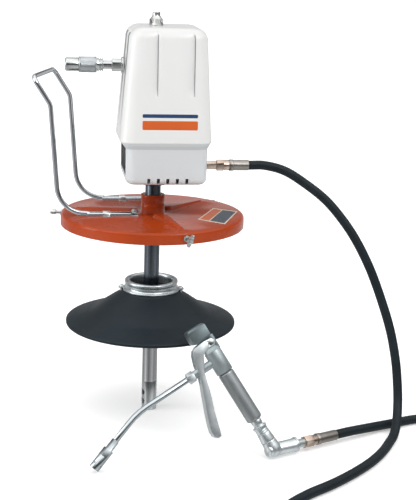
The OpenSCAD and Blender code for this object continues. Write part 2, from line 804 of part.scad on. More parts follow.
module exhaust_muffler() color("silver") translate([muffler_x, muffler_y, base_flange_z - muffler_len]) {
    difference() {
        cylinder(r = muffler_r, h = muffler_len - muffler_neck_len);
        for (place_share = [0.2, 0.5, 0.8])
            translate([0, 0, place_share * (muffler_len - muffler_neck_len)])
                pipe(muffler_r + over, muffler_r - muffler_groove, 0, muffler_groove);
    }
    translate([0, 0, muffler_len - muffler_neck_len - over])
        cylinder(r = muffler_neck_r, h = muffler_neck_len + over);
}

// Hood and lower shroud
function hood_ring(z, wall, inset) =
    let (up = min(1, (z - hood_z) / (hood_shoulder_z - hood_z)),
        x0 = hood_foot_x + (hood_shoulder_x - hood_foot_x) * up,
        width = hood_foot_w + (hood_shoulder_w - hood_foot_w) * up,
        depth = hood_foot_depth + (hood_shoulder_depth - hood_foot_depth) * up,
        back = wall + inset)
    ring_points(x0 + back, x0 + width - back, depth / 2 - back,
        hood_corner_r - wall - inset * hood_corner_share, z);
function hood_rings(wall, foot) = concat([hood_ring(foot, wall, 0)], [
    for (k = [0:hood_steps]) let (a = 90 * k / hood_steps, r = hood_top_r - wall)
        hood_ring(hood_shoulder_z + r * sin(a), wall, r * (1 - cos(a)))
]);
module motor_hood() color("white") difference() {
    loft(hood_rings(0, hood_z));
    loft(hood_rings(sheet_t, hood_z - over));
    translate([0, 0, hood_top - hood_top_r]) cylinder(r = hood_stud_r + soft_gap, h = 2 * hood_top_r);
    at_inlet() translate([0, 0, nipple_end_x]) cylinder(r = nipple_thread_r + over, h = cover_r);
}
function shroud_ring(z, spread, wall) = ring_points(shroud_left - spread + wall,
    shroud_right + spread - wall, shroud_half + spread - wall, shroud_corner_r - wall + spread, z);
function shroud_rings(wall, lowest) = concat([
    for (k = [0:corner_steps]) let (a = 90 * k / corner_steps, r = shroud_bottom_r - wall)
        shroud_ring(shroud_z + shroud_bottom_r - r * cos(a) + lowest, -r * (1 - sin(a)), wall)],
    [shroud_ring(hood_z - shroud_flare_h, 0, wall)]);
function seam_ring(z, wall) = ring_points(hood_foot_x + shroud_seam_inset + wall,
    hood_foot_x + hood_foot_w - shroud_seam_inset - wall,
    hood_foot_depth / 2 - shroud_seam_inset - wall, hood_corner_r - wall, z);
module lower_shroud() color("gainsboro") difference() {
    loft(concat(shroud_rings(0, 0), [seam_ring(hood_z, 0)]));
    loft(concat(shroud_rings(sheet_t, 0), [seam_ring(hood_z, sheet_t), seam_ring(hood_z + over, sheet_t)]));
    translate([0, 0, shroud_z - over]) cylinder(r = slide_hole_r, h = sheet_t + 2 * over);
    at_outlet() translate([0, 0, outlet_boss_x]) cylinder(r = hex_r(adapter_af) + over, h = cover_r);
    translate([-cover_r, -opening_half, opening_z0])
        cube([cover_r + shroud_left + sheet_t + over, 2 * opening_half, opening_z1 - opening_z0]);
    for (i = [0:slot_count - 1])
        translate([slot_x0 + i * slot_pitch - slot_w / 2, -shroud_half - over, slot_z0])
            cube([slot_w, shroud_bottom_r, slot_h]);
}
module hood_stud() color("silver") translate([0, 0, head_top - hood_stud_blind])
    cylinder(r = hood_stud_r, h = hood_top - head_top + hood_stud_blind + hood_nut_h);
module hood_nut() color("silver") translate([0, 0, hood_top]) difference() {
    union() {
        cylinder(r = hood_washer_r, h = sheet_t);
        translate([0, 0, sheet_t]) cylinder(r = hex_r(hood_nut_af), h = hood_nut_h - sheet_t, $fn = 6);
        translate([0, 0, hood_nut_h])
            cylinder(r1 = hood_nut_af / 2, r2 = hood_cap_r, h = hood_nut_cone_h);
        translate([0, 0, hood_nut_h + hood_nut_cone_h]) round_end(hood_cap_r, hood_cap_h, over);
    }
    translate([0, 0, -over]) cylinder(r = hood_stud_r + seat_fit, h = hood_nut_h + 2 * over);
}

// Air inlet: nipple and quick coupler
module inlet_nipple() color("silver") at_inlet() difference() {
    union() {
        translate([0, 0, nipple_end_x]) cylinder(r = nipple_thread_r, h = neck_end_x - nipple_end_x);
        translate([0, 0, nipple_washer_x - nipple_washer_t])
            cylinder(r = nipple_washer_r, h = nipple_washer_t);
        translate([0, 0, nipple_washer_x])
            cylinder(r = hex_r(nipple_hex_af), h = nipple_hex_len, $fn = 6);
        translate([0, 0, nipple_washer_x + nipple_hex_len])
            cylinder(r = neck_r, h = neck_end_x - nipple_washer_x - nipple_hex_len);
    }
    cylinder(r = inlet_way_r, h = cover_r);
}
module coupler_body() color("silver") at_inlet() difference() {
    union() {
        translate([0, 0, nose_x]) cylinder(r = nose_r, h = sleeve_x - nose_x);
        translate([0, 0, sleeve_x]) cylinder(r = sleeve_bore_r - run_fit, h = sleeve_len);
    }
    for (k = [0, 1]) translate([0, 0, nose_x + nose_groove_w + k * nose_groove_gap])
        pipe(nose_r + over, nose_groove_r, 0, nose_groove_w);
    cylinder(r = neck_r + seat_fit, h = neck_end_x);
    cylinder(r = inlet_way_r, h = cover_r);
}
module coupler_sleeve() color("gray") at_inlet()
    pipe(sleeve_r, sleeve_bore_r, sleeve_x, sleeve_x + sleeve_len);
module coupler_end_nut() color("silver") at_inlet() translate([0, 0, sleeve_x + sleeve_len])
    difference() {
        round_end(end_nut_r, end_nut_len, end_nut_round);
        translate([0, 0, end_nut_len - end_thread_len])
            cylinder(r = air_thread_d / 2, h = end_thread_len + over);
        translate([0, 0, -over]) cylinder(r = inlet_way_r, h = end_nut_len);
    }

// Piston, rod and plunger
module air_piston() color("silver") difference() {
    pipe(piston_r, rod_r, piston_z, piston_z + piston_h);
    translate([0, 0, piston_z + (piston_h - piston_groove_h) / 2])
        pipe(piston_r + over, piston_r - piston_groove_depth, 0, piston_groove_h);
}
module piston_seal() color("black") translate([0, 0, piston_z + (piston_h - piston_groove_h) / 2])
    pipe(piston_r, piston_r - piston_groove_depth, 0, piston_groove_h);
module piston_rod() color("silver") {
    translate([0, 0, plunger_top]) cylinder(r = rod_r, h = rod_top - plunger_top);
    translate([0, 0, plunger_top - rod_spigot_len]) cylinder(r = rod_spigot_r, h = rod_spigot_len + over);
}
module pump_plunger() color("goldenrod") translate([0, 0, plunger_z]) difference() {
    cylinder(r = plunger_r, h = plunger_len);
    translate([0, 0, -over]) cylinder(r = plunger_seat_r, h = plunger_seat_h + 2 * over);
    translate([0, 0, plunger_seat_h]) cylinder(r = plunger_cage_r, h = plunger_cage_h);
    translate([0, 0, plunger_len - rod_spigot_len])
        cylinder(r = rod_spigot_r, h = rod_spigot_len + over);
    translate([-bore_r, 0, plunger_seat_h + plunger_cage_h - plunger_port_r])
        rotate([0, 90, 0]) cylinder(r = plunger_port_r, h = tube_bore_d);
    translate([0, 0, plunger_groove_z])
        pipe(plunger_r + over, plunger_r - plunger_groove_depth, 0, plunger_groove_h);
}
module plunger_seal() color("black") translate([0, 0, plunger_z + plunger_groove_z])
    pipe(plunger_r, plunger_r - plunger_groove_depth, 0, plunger_groove_h);
module plunger_ball() color("silver")
    translate([0, 0, plunger_z + plunger_seat_h + plunger_ball_lift]) sphere(r = plunger_ball_r);

// Grease outlet and hose
module outlet_adapter() color("peru") at_outlet() difference() {
    union() {
        translate([0, 0, outlet_boss_x - outlet_thread_len])
            cylinder(r = outlet_thread_r - seat_fit, h = adapter_x - outlet_boss_x + outlet_thread_len);
        translate([0, 0, adapter_x]) cylinder(r = hex_r(adapter_af), h = adapter_len, $fn = 6);
        translate([0, 0, adapter_x + adapter_len]) cylinder(r = adapter_nose_r, h = adapter_nose_len);
    }
    cylinder(r = ferrule_bore_r, h = cover_r);
}
module hose_nut(af, length, tail) {
    difference() {
        union() {
            cylinder(r = hex_r(af), h = length, $fn = 6);
            translate([0, 0, length]) cylinder(r = hose_nut_tail_r, h = tail);
        }
        translate([0, 0, -over]) cylinder(r = adapter_nose_r + seat_fit, h = length + tail + 2 * over);
    }
}
module ferrule(collar, length) {
    difference() {
        union() {
            cylinder(r = ferrule_collar_r, h = collar);
            cylinder(r = ferrule_r, h = collar + length);
        }
        translate([0, 0, -over]) cylinder(r = ferrule_bore_r, h = collar + length + 2 * over);
    }
}
module hose_nut_pump() color("peru") at_outlet() translate([0, 0, adapter_x + adapter_len])
    hose_nut(hose_nut_af, hose_nut_len, hose_nut_tail_len);
module hose_ferrule_pump() color("silver") at_outlet()
    translate([0, 0, hose_start[0] - ferrule_len - ferrule_collar_len])
        ferrule(ferrule_collar_len, ferrule_len);
hose_end_reach = elbow_len + stem_len + gun_nut_len + gun_ferrule_len;
hose_end = elbow + hose_end_reach * [cos(hose_yaw), sin(hose_yaw), 0];
module grease_hose() color("black") {
    route = concat([hose_start], hose_route, [hose_end]);
    step = (len(route) - 1) / (hose_rings - 1);
    sweep([for (i = [0:hose_rings - 1]) route_at(route, i * step)], hose_d / 2, hose_sides);
}
module hose_ferrule_gun() color("silver") at_hose_end()
    translate([0, 0, elbow_len + stem_len + gun_nut_len]) ferrule(ferrule_collar_len, gun_ferrule_len
        - ferrule_collar_len);
module hose_nut_gun() color("peru") at_hose_end() translate([0, 0, elbow_len + stem_len])
    hose_nut(gun_nut_af, gun_nut_len - hose_nut_tail_len, hose_nut_tail_len);
module swivel_stem() color("silver") at_hose_end() difference() {
    union() {
        translate([0, 0, elbow_len - swivel_pin_len])
            cylinder(r = swivel_pin_r - run_fit, h = swivel_pin_len + swivel_gap);
        translate([0, 0, elbow_len + swivel_gap]) cylinder(r = stem_flange_r, h = stem_flange_t);
        translate([0, 0, elbow_len + swivel_gap]) cylinder(r = stem_r, h = stem_len - swivel_gap);
        translate([0, 0, elbow_len + stem_len]) cylinder(r = adapter_nose_r, h = adapter_nose_len);
    }
    cylinder(r = grip_bore_r, h = cover_r);
}

// Grease gun
module swivel_elbow() color("silver") difference() {
    union() {
        translate(elbow) sphere(r = elbow_r + elbow_swell);
        at_hose_end() cylinder(r = elbow_r, h = elbow_block_len);
        at_hose_end() translate([0, 0, elbow_block_len])
            cylinder(r = elbow_flange_r, h = elbow_len - elbow_block_len);
        at_gun() cylinder(r = elbow_top_r, h = elbow_top);
        at_gun() cylinder(r = swivel_pin_r - run_fit, h = elbow_top + swivel_pin_len);
    }
    at_hose_end() translate([0, 0, elbow_len - swivel_pin_len - over])
        cylinder(r = swivel_pin_r, h = swivel_pin_len + 2 * over);
    translate(elbow) sphere(r = elbow_hollow_r);
    at_hose_end() cylinder(r = grip_bore_r, h = elbow_len);
    at_gun() cylinder(r = elbow_way_r, h = elbow_len);
}
module gun_swivel() color("silver") at_gun() difference() {
    union() {
        translate([0, 0, elbow_top + swivel_gap]) cylinder(r = barrel_r, h = barrel_len - swivel_gap);
        translate([0, 0, elbow_top + barrel_len]) cylinder(r = neck_gun_r, h = neck_len);
    }
    for (place = barrel_grooves_at) translate([0, 0, elbow_top + place])
        pipe(barrel_r + over, barrel_groove_r, 0, barrel_groove_w);
    translate([0, 0, elbow_top + barrel_len])
        pipe(neck_gun_r + over, neck_groove_r, 0, neck_groove_w);
    translate([0, 0, elbow_top - over]) cylinder(r = swivel_pin_r, h = swivel_pin_len + 2 * over);
    cylinder(r = grip_bore_r, h = body_z);
}
module gun_grip() color("silver") at_gun() translate([0, 0, gun_z]) difference() {
    rotate_extrude() {
        translate([0, grip_round]) square([grip_r, grip_len - 2 * grip_round]);
        square([grip_r - grip_round, grip_len]);
        for (z = [grip_round, grip_len - grip_round])
            translate([grip_r - grip_round, z]) circle(r = grip_round);
    }
    translate([0, 0, -over]) cylinder(r = grip_bore_r, h = grip_len + 2 * over);
}
module gun_body() color("silver") at_gun() difference() {
    union() {
        translate([0, 0, body_z]) cylinder(r = housing_r, h = housing_len);
        translate([neck_x - neck_w, -neck_half, body_z + housing_len - over])
            cube([neck_w, 2 * neck_half, gun_neck_len + 2 * over]);
        hull() {
            translate([head_x - head_w, -head_half, body_z + housing_len + gun_neck_len + head_edge])
                cube([head_w, 2 * head_half, head_len - 2 * head_edge]);
            translate([head_x - head_w + head_edge, -head_half + head_edge,
                body_z + housing_len + gun_neck_len])
                cube([head_w - 2 * head_edge, 2 * (head_half - head_edge), head_len]);
        }
        translate([0, 0, gun_outlet_z]) rotate([0, -90, 0]) cylinder(r = gun_outlet_r, h = gun_outlet_x);
    }
    translate([0, 0, body_z - over]) cylinder(r = grip_bore_r, h = stem_bore_z - body_z + 2 * over);
    translate([0, 0, stem_bore_z]) cylinder(r = stem_bore_r, h = stem_valve_z - stem_bore_z + head_edge);
    translate([0, 0, stem_bore_z])
        cylinder(r = stem_valve_r + run_fit, h = stem_valve_z - stem_bore_z + stem_valve_len);
    translate([0, 0, gun_outlet_z]) rotate([0, -90, 0]) cylinder(r = gun_way_r, h = gun_outlet_x + over);
    translate([pivot_x, -head_half, pivot_z]) rotate([-90, 0, 0])
        cylinder(r = pivot_r, h = 2 * head_half);
}
module lever_outline() polygon([for (p = lever_shares)
    [pivot_x + p[0] * lever_reach, pivot_z + p[1] * lever_drop]]);
module gun_lever() color("gray") at_gun() difference() {
    union() {
        for (y = [-lever_half + cheek_t, lever_half]) translate([0, y, 0]) rotate([90, 0, 0])
            linear_extrude(height = cheek_t) lever_outline();
        translate([0, lever_half, 0]) rotate([90, 0, 0]) linear_extrude(height = lever_w)
            intersection() {
                difference() {
                    lever_outline();
                    translate([web_t, 0]) lever_outline();
                }
                translate([pivot_x - lever_reach - over, pivot_z - lever_drop - over])
                    square([lever_reach, lever_drop * (1 - lever_web_drop)]);
            }
    }
    translate([pivot_x, -lever_w, pivot_z]) rotate([-90, 0, 0])
        cylinder(r = pivot_r + run_fit, h = 2 * lever_w);
}
module lever_pin() color("silver") at_gun() translate([pivot_x, 0, pivot_z]) rotate([-90, 0, 0]) {
    reach = lever_half + soft_gap;
    translate([0, 0, -reach]) cylinder(r = pivot_r, h = 2 * reach);
    translate([0, 0, reach]) cylinder(r = pivot_head_r, h = pivot_head_t);
    translate([0, 0, -reach - pivot_head_t]) cylinder(r = pivot_head_r, h = pivot_head_t);
}
module valve_stem() color("silver") at_gun() translate([0, 0, stem_valve_z]) {
    translate([0, 0, -stem_valve_head_h]) cylinder(r = stem_valve_head_r, h = stem_valve_head_h);
    cylinder(r = stem_valve_r, h = stem_valve_len - 2 * stem_valve_head_h);
}
module valve_spring() color("silver") at_gun() {
    low = stem_bore_z + spring_wire_r;
    rise = stem_valve_z - stem_valve_head_h - stem_bore_z - 2 * spring_wire_r;
    steps = spring_turns * spring_steps;
    sweep([for (i = [0:steps]) [spring_r * cos(360 * i / spring_steps),
        spring_r * sin(360 * i / spring_steps), low + rise * i / steps]], spring_wire_r, spring_sides);
}
module at_gun_outlet() at_gun() translate([-gun_outlet_x, 0, gun_outlet_z]) rotate([0, -90, 0]) children();
module outlet_nut() color("silver") at_gun_outlet()
    hex_pipe(gun_outlet_nut_af, pipe_r, 0, gun_outlet_nut_len);
bend_tip = [cos(pipe_bend), sin(pipe_bend)];
module extension_pipe() color("silver") at_gun_outlet() difference() {
    corner = pipe_run + gun_outlet_nut_len;
    sweep(bend_path([[0, 0, 0], [0, 0, corner],
        [-pipe_end * bend_tip[1], 0, corner + pipe_end * bend_tip[0]]], [pipe_bend_r]), pipe_r, rod_sides);
    translate([0, 0, -over]) cylinder(r = pipe_bore_r, h = pipe_run / 2);
}
module at_coupler() at_gun_outlet()
    translate([-pipe_end * bend_tip[1], 0, pipe_run + gun_outlet_nut_len + pipe_end * bend_tip[0]])
        rotate([0, -pipe_bend, 0]) children();
module grease_coupler() color("silver") at_coupler() difference() {
    sleeve_at = adapter_gun_len + coupler_hex_len;
    union() {
        cylinder(r = hex_r(adapter_gun_af), h = adapter_gun_len, $fn = 6);
        translate([0, 0, adapter_gun_len])
            cylinder(r = hex_r(coupler_hex_af), h = coupler_hex_len, $fn = 6);
        translate([0, 0, sleeve_at]) cylinder(r = coupler_d / 2, h = coupler_sleeve_len);
    }
    translate([0, 0, sleeve_at + coupler_sleeve_len - coupler_mouth_len])
        cylinder(r = coupler_mouth_d / 2, h = coupler_mouth_len + over);
    translate([0, 0, sleeve_at / 2]) cylinder(r = gun_way_r, h = coupler_sleeve_len);
    for (a = [0, 90]) rotate([0, 0, a + 45])
        translate([-coupler_d, -coupler_slot_w / 2, sleeve_at + coupler_sleeve_len - coupler_slot_len - over])
            cube([coupler_d - coupler_mouth_d / 2, coupler_slot_w, coupler_slot_w]);
}

// Follower
module follower_cone() color("black") difference() {
    span = follower_d / 2 - follower_web_r;
    upper = [for (p = follower_shares) [follower_web_r + p[0] * span, -follower_z - p[1] * follower_drop]];
    lower = [for (i = [len(upper) - 1:-1:0]) upper[i] - [0, follower_t]];
    rotate_extrude() polygon(concat([[slide_hole_r, -follower_z]], upper, lower,
        [[follower_web_r, -follower_z - follower_web_t], [slide_hole_r, -follower_z - follower_web_t]]));
    for (a = follower_screw_angles) rotate([0, 0, a])
        translate([follower_screw_at, 0, -follower_z - follower_drop])
            cylinder(r = follower_screw_r + seat_fit, h = 2 * follower_drop);
}
module follower_ring() color("silver") difference() {
    union() {
        pipe(follower_ring_r, follower_ring_bore_r, -follower_z, -follower_z + follower_ring_h);
        pipe(follower_flange_r, follower_ring_bore_r, -follower_z, -follower_z + follower_flange_t);
        for (a = follower_screw_angles) rotate([0, 0, a]) translate([follower_screw_at, 0, -follower_z])
            cylinder(r = follower_lug_r, h = follower_flange_t);
    }
    for (a = follower_screw_angles) rotate([0, 0, a]) translate([follower_screw_at, 0, -follower_z - over])
        cylinder(r = follower_screw_r + seat_fit, h = follower_flange_t + 2 * over);
}
module follower_screws() color("silver") {
    for (a = follower_screw_angles) rotate([0, 0, a])
        translate([follower_screw_at, 0, -follower_z + follower_flange_t]) {
            intersection() {
                translate([0, 0, follower_dome_h - follower_dome_r]) sphere(r = follower_dome_r);
                cylinder(r = follower_dome_r, h = follower_dome_h);
            }
            translate([0, 0, -follower_screw_len])
                cylinder(r = follower_screw_r, h = follower_screw_len + over);
            translate([0, 0, -follower_flange_t - follower_nut_drop - follower_nut_h])
                cylinder(r = hex_r(follower_nut_af), h = follower_nut_h, $fn = 6);
        }
}

drum_cover();
cover_collar();
collar_screw();
bail_handle();
handle_clamps();
handle_studs();
handle_nuts();
skirt_nuts();
thumb_screw_left();
thumb_screw_front();
thumb_screw_back();
pump_tube();
foot_valve_body();
foot_valve_seat();
ball_stop_pin();
foot_ball();
pump_base();
tube_lock_nut();
rod_packing();
air_cylinder();
cylinder_head();
tie_bolts();
valve_caps();
valve_spool();
exhaust_muffler();
motor_hood();
lower_shroud();
hood_stud();
hood_nut();
inlet_nipple();
coupler_body();
coupler_sleeve();
coupler_end_nut();
air_piston();
piston_seal();
piston_rod();
pump_plunger();
plunger_seal();
plunger_ball();
outlet_adapter();
hose_nut_pump();
hose_ferrule_pump();
grease_hose();
hose_ferrule_gun();
hose_nut_gun();
swivel_stem();
swivel_elbow();
gun_swivel();
gun_grip();
gun_body();
gun_lever();
lever_pin();
valve_stem();
valve_spring();
outlet_nut();
extension_pipe();
grease_coupler();
follower_cone();
follower_ring();
follower_screws();
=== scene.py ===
import json
import math

import bmesh
import bpy
from mathutils import Matrix, Vector


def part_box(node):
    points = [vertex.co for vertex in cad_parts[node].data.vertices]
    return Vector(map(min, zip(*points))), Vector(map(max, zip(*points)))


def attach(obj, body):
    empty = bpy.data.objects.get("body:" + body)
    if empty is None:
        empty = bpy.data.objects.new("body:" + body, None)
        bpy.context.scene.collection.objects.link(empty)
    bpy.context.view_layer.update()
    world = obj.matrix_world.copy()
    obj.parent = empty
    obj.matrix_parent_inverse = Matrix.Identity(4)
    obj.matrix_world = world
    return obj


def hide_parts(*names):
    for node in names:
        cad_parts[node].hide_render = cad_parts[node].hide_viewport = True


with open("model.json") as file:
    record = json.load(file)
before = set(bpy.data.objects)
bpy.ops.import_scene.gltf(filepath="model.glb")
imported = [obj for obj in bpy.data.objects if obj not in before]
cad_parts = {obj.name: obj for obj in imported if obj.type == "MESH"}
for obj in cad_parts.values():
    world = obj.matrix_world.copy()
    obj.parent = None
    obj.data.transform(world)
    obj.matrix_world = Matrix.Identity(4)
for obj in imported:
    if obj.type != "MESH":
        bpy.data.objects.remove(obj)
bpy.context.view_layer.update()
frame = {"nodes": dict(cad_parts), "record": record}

# Lengths are in millimetres, which MM turns into the frame's metres, unless a comment says otherwise
MM = 0.001
NODES = frame["nodes"]
# Height of the floor in metres: the pump's lowest point stands on it
FLOOR_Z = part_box("foot_valve_body")[0][2]

# Camera, as the photograph was taken. Its place and its clip end are in metres, its angles in degrees.
CAMERA_YAW, CAMERA_PITCH, CAMERA_ROLL = 8.5, 14.45, 1.8
CAMERA_PLACE, CLIP_END = (-0.2039, -2.0308, 0.4618), 100.0
SENSOR_HEIGHT, LENS = 24.0, 57.6


def link_object(name, data):
    obj = bpy.data.objects.new(name, data)
    bpy.context.scene.collection.objects.link(obj)
    return obj


def add_camera():
    yaw, pitch, roll = (math.radians(a) for a in (CAMERA_YAW, CAMERA_PITCH, CAMERA_ROLL))
    heading = Vector((math.sin(yaw), math.cos(yaw), 0.0))
    level = Vector((math.cos(yaw), -math.sin(yaw), 0.0))
    forward = heading * math.cos(pitch) - Vector((0, 0, math.sin(pitch)))
    upright = heading * math.sin(pitch) + Vector((0, 0, math.cos(pitch)))
    right = level * math.cos(roll) + upright * math.sin(roll)
    up = upright * math.cos(roll) - level * math.sin(roll)
    camera = bpy.data.cameras.new("camera")
    camera.sensor_fit = "VERTICAL"
    camera.sensor_height = SENSOR_HEIGHT
    camera.lens = LENS
    camera.clip_end = CLIP_END
    holder = link_object("camera", camera)
    turn = Matrix((right, up, -forward)).transposed()
    holder.matrix_world = Matrix.Translation(CAMERA_PLACE) @ turn.to_4x4()
    bpy.context.scene.camera = holder


# Mesh helpers. AXIS_R keeps a turned outline off its axis, and TURNED_EDGE rounds turned pieces.
AXIS_R, TURNED_EDGE = 0.5, 0.4
EDGE_ANGLE = math.radians(38)
EDGE_SEGMENTS = 2
WELD_GAP = 0.002


def mesh_object(name, points, faces, material, smooth=True):
    mesh = bpy.data.meshes.new(name)
    mesh.from_pydata([tuple(p) for p in points], [], faces)
    mesh.update()
    mesh.validate()
    outward = bmesh.new()
    outward.from_mesh(mesh)
    bmesh.ops.recalc_face_normals(outward, faces=outward.faces)
    outward.to_mesh(mesh)
    outward.free()
    for face in mesh.polygons:
        face.use_smooth = smooth
    mesh.materials.append(material)
    return link_object(name, mesh)


def strip(i, j, count):
    """The faces between two closed rings, each of count points, by their places in a list."""
    return [(i * count + k, i * count + (k + 1) % count, j * count + (k + 1) % count, j * count + k)
            for k in range(count)]


def smooth_curve(route, per_span):
    """Points of a smooth curve that goes through each point of a route."""
    ends = [2 * route[0] - route[1]] + route + [2 * route[-1] - route[-2]]
    out = []
    for i in range(1, len(ends) - 2):
        a, b, c, d = ends[i - 1:i + 3]
        for k in range(per_span):
            t = k / per_span
            out.append(0.5 * (2 * b + (c - a) * t + (2 * a - 5 * b + 4 * c - d) * t * t
                              + (3 * b - a - 3 * c + d) * t * t * t))
    return out + [route[-1]]


def swept_tube(name, path, radius, sides, material):
    """A closed tube along a path in metres, without twist. radius(k) is that of a ring's point."""
    headings = [(path[min(i + 1, len(path) - 1)] - path[max(i - 1, 0)]).normalized()
                for i in range(len(path))]
    across = headings[0].cross(Vector((0, 0, 1))).normalized()
    points = []
    for p, heading in zip(path, headings):
        across = (across - across.dot(heading) * heading).normalized()
        up = across.cross(heading)
        for k in range(sides):
            a = 2 * math.pi * k / sides
            points.append(p + radius(k) * (math.cos(a) * across + math.sin(a) * up))
    faces = [face for i in range(len(path) - 1) for face in strip(i, i + 1, sides)]
    last = (len(path) - 1) * sides
    faces.append(tuple(range(sides - 1, -1, -1)))
    faces.append(tuple(last + k for k in range(sides)))
    return mesh_object(name, points, faces, material)


def lathe(name, outline, sides, material):
    """A closed turned body from an outline of (radius, height)."""
    points = []
    for k in range(sides):
        a = 2 * math.pi * k / sides
        points += [Vector((r * math.cos(a), r * math.sin(a), z)) * MM for r, z in outline]
    faces = [face for k in range(sides) for face in strip(k, (k + 1) % sides, len(outline))]
    return mesh_object(name, points, faces, material)


def round_edges(obj, width):
    """Shades a piece smooth across its joined faces, and rounds its sharp edges."""
    mesh = obj.data
    for face in mesh.polygons:
        face.use_smooth = True
    mesh.normals_split_custom_set([(0, 0, 0)] * len(mesh.loops))
    weld = obj.modifiers.new("weld", "WELD")
    weld.merge_threshold = WELD_GAP * MM
    bevel = obj.modifiers.new("edges", "BEVEL")
    bevel.width = width * MM
    bevel.segments = EDGE_SEGMENTS
    bevel.limit_method = "ANGLE"
    bevel.angle_limit = EDGE_ANGLE
    bevel.harden_normals = True


# Hose: from the pump's ferrule, down to the floor, round its unseen bend and back to the gun.
# Its thickness, and how far every second point of a ring is drawn in, are in metres.
HOSE_D, HOSE_RIB = 0.016, 0.00012
HOSE_SIDES, HOSE_SPAN_POINTS, HOSE_PATH_STEP = 40, 8, 4
HOSE_EXIT_Z = 85
HOSE_ROUTE = [
    (196, 0, 84.5), (232, -3, 75), (270, -7, 52), (304, -14, 26), (332, -23, -5),
    (357, -35, -41), (382, -50, -90), (403, -66, -146), (418, -81, -197), (426, -97, -246),
    (428, -112, -288), (426, -127, -318), (419, -149, -340.5), (406, -178, -352),
    (389, -207, -354), (368, -241, -354), (339, -278, -354), (300, -317, -354),
    (256, -354, -354), (208, -388, -354), (168, -426, -354), (146, -472, -354),
    (149, -520, -354), (178, -560, -354), (222, -581, -354), (278, -581, -354),
    (358, -556, -354), (434, -506, -354), (495, -436, -354), (538, -352, -354),
    (562, -262, -354), (566, -188, -354), (552, -142, -354), (520, -113, -354),
    (474, -105, -354), (418, -124, -353.5), (365, -150.5, -349.5), (328, -168, -347.5),
]
# The way from the gun's elbow to the hose's end, and how far off that end is
HOSE_YAW = math.radians(24.5)
HOSE_END_REACH = 129
# The elbow's centre, and the angles of the gun's axis there
GUN_ELBOW = Vector((185, -233, -347.5))
GUN_YAW, GUN_LEAN, GUN_TILT = (math.radians(a) for a in (6.4, 22.0, 29.3))


def hose_path():
    """The points that the hose follows, in metres."""
    start = Vector((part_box("hose_ferrule_pump")[1][0] / MM, 0, HOSE_EXIT_Z))
    end = GUN_ELBOW + HOSE_END_REACH * Vector((math.cos(HOSE_YAW), math.sin(HOSE_YAW), 0))
    route = [start] + [Vector(p) for p in HOSE_ROUTE] + [end]
    return [p * MM for p in smooth_curve(route, HOSE_SPAN_POINTS)]


def add_hose(material):
    path = hose_path()

    def radius(k):
        return HOSE_D / 2 - (HOSE_RIB if k % 2 else 0.0)

    hose = swept_tube("hose_cover", path, radius, HOSE_SIDES, material)
    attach(hose, "pump")
    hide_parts("grease_hose")


# Motor hood: a tapered shell with a domed top and pressed flutes in its faces.
# Each size is given at the hood's foot, with how much it comes in up to the shoulder.
HOOD_Z, HOOD_SHOULDER_Z, HOOD_TOP_R, HOOD_CORNER_R = 134.0, 301.0, 21.0, 22.0
HOOD_LEFT, HOOD_LEFT_TAPER = -62.0, 13.5
HOOD_WIDTH, HOOD_WIDTH_TAPER = 153.0, 22.5
HOOD_DEPTH, HOOD_DEPTH_TAPER = 155.0, 21.0
HOOD_T = 1.5
# What the corner radius loses for each millimetre that the dome is drawn in
DOME_CORNER_SHRINK = 0.6
# Flutes: where each starts softly and where its sharp edge is, along the face
FRONT_FLUTES = ((-25.5, -3.0), (35.5, 58.0))
SIDE_FLUTES = ((-42.0, -20.0), (8.0, 30.0))
FRONT_FLUTE_FOOT, SIDE_FLUTE_FOOT = 207.0, 150.0
# Depth at the edge, width of the step there, and power of the slope that leads to it
FLUTE_DEPTH, FLUTE_EDGE, FLUTE_CURVE = 3.8, 1.2, 1.6
# How much higher its soft side begins, the height it deepens over, and the inset it fades out over
FLUTE_LIP, FLUTE_RUN, FLUTE_FADE = 10.0, 16.0, 9.0
# Faces steeper than this share, below this height, are creases, and get a darker paint there as
# painted shade
CREASE_SHADE_STEEP, CREASE_SHADE_TOP = 0.62, 312.0
# Steps of the hood's rings: across a flute, beside it, between two of them and round a corner
FLUTE_STEPS, END_STEPS, MIDDLE_STEPS, CORNER_STEPS = 9, 3, 6, 10
# Heights of the rings above the foot, with finer steps where the front flutes begin
FIRST_RINGS, RING_START = (0.02, 2.5), 6.0
RING_STEP, FINE_STEP, FINE_BELOW, FINE_ABOVE = 6.0, 3.0, 6.0, 30.0
# The last ring of the walls stays this far under the shoulder
SHOULDER_GAP = 1.0
DOME_STEPS = 12
CAP_SHARES = (0.8, 0.5, 0.2)


def hood_outline(z, inset):
    """Left, right and half depth of the hood at a height, and its corner radius."""
    up = min(1.0, (z - HOOD_Z) / (HOOD_SHOULDER_Z - HOOD_Z))
    left = HOOD_LEFT + HOOD_LEFT_TAPER * up
    width = HOOD_WIDTH - HOOD_WIDTH_TAPER * up
    return (left + inset, left + width - inset, (HOOD_DEPTH - HOOD_DEPTH_TAPER * up) / 2 - inset,
            HOOD_CORNER_R - DOME_CORNER_SHRINK * inset)


def smooth_step(t):
    t = min(1.0, max(0.0, t))
    return t * t * (3 - 2 * t)


def flute_depth(place, z, flutes, foot):
    """How far the face is pressed in: a flute slopes in from its start and steps back at its edge."""
    depth = 0.0
    for start, edge in flutes:
        across = (place - start) / (edge - start)
        if 0.0 < across <= 1.0:
            lip = foot + FLUTE_LIP * (1 - across) ** 2
            depth = FLUTE_DEPTH * across ** FLUTE_CURVE * smooth_step((z - lip) / FLUTE_RUN)
    return depth


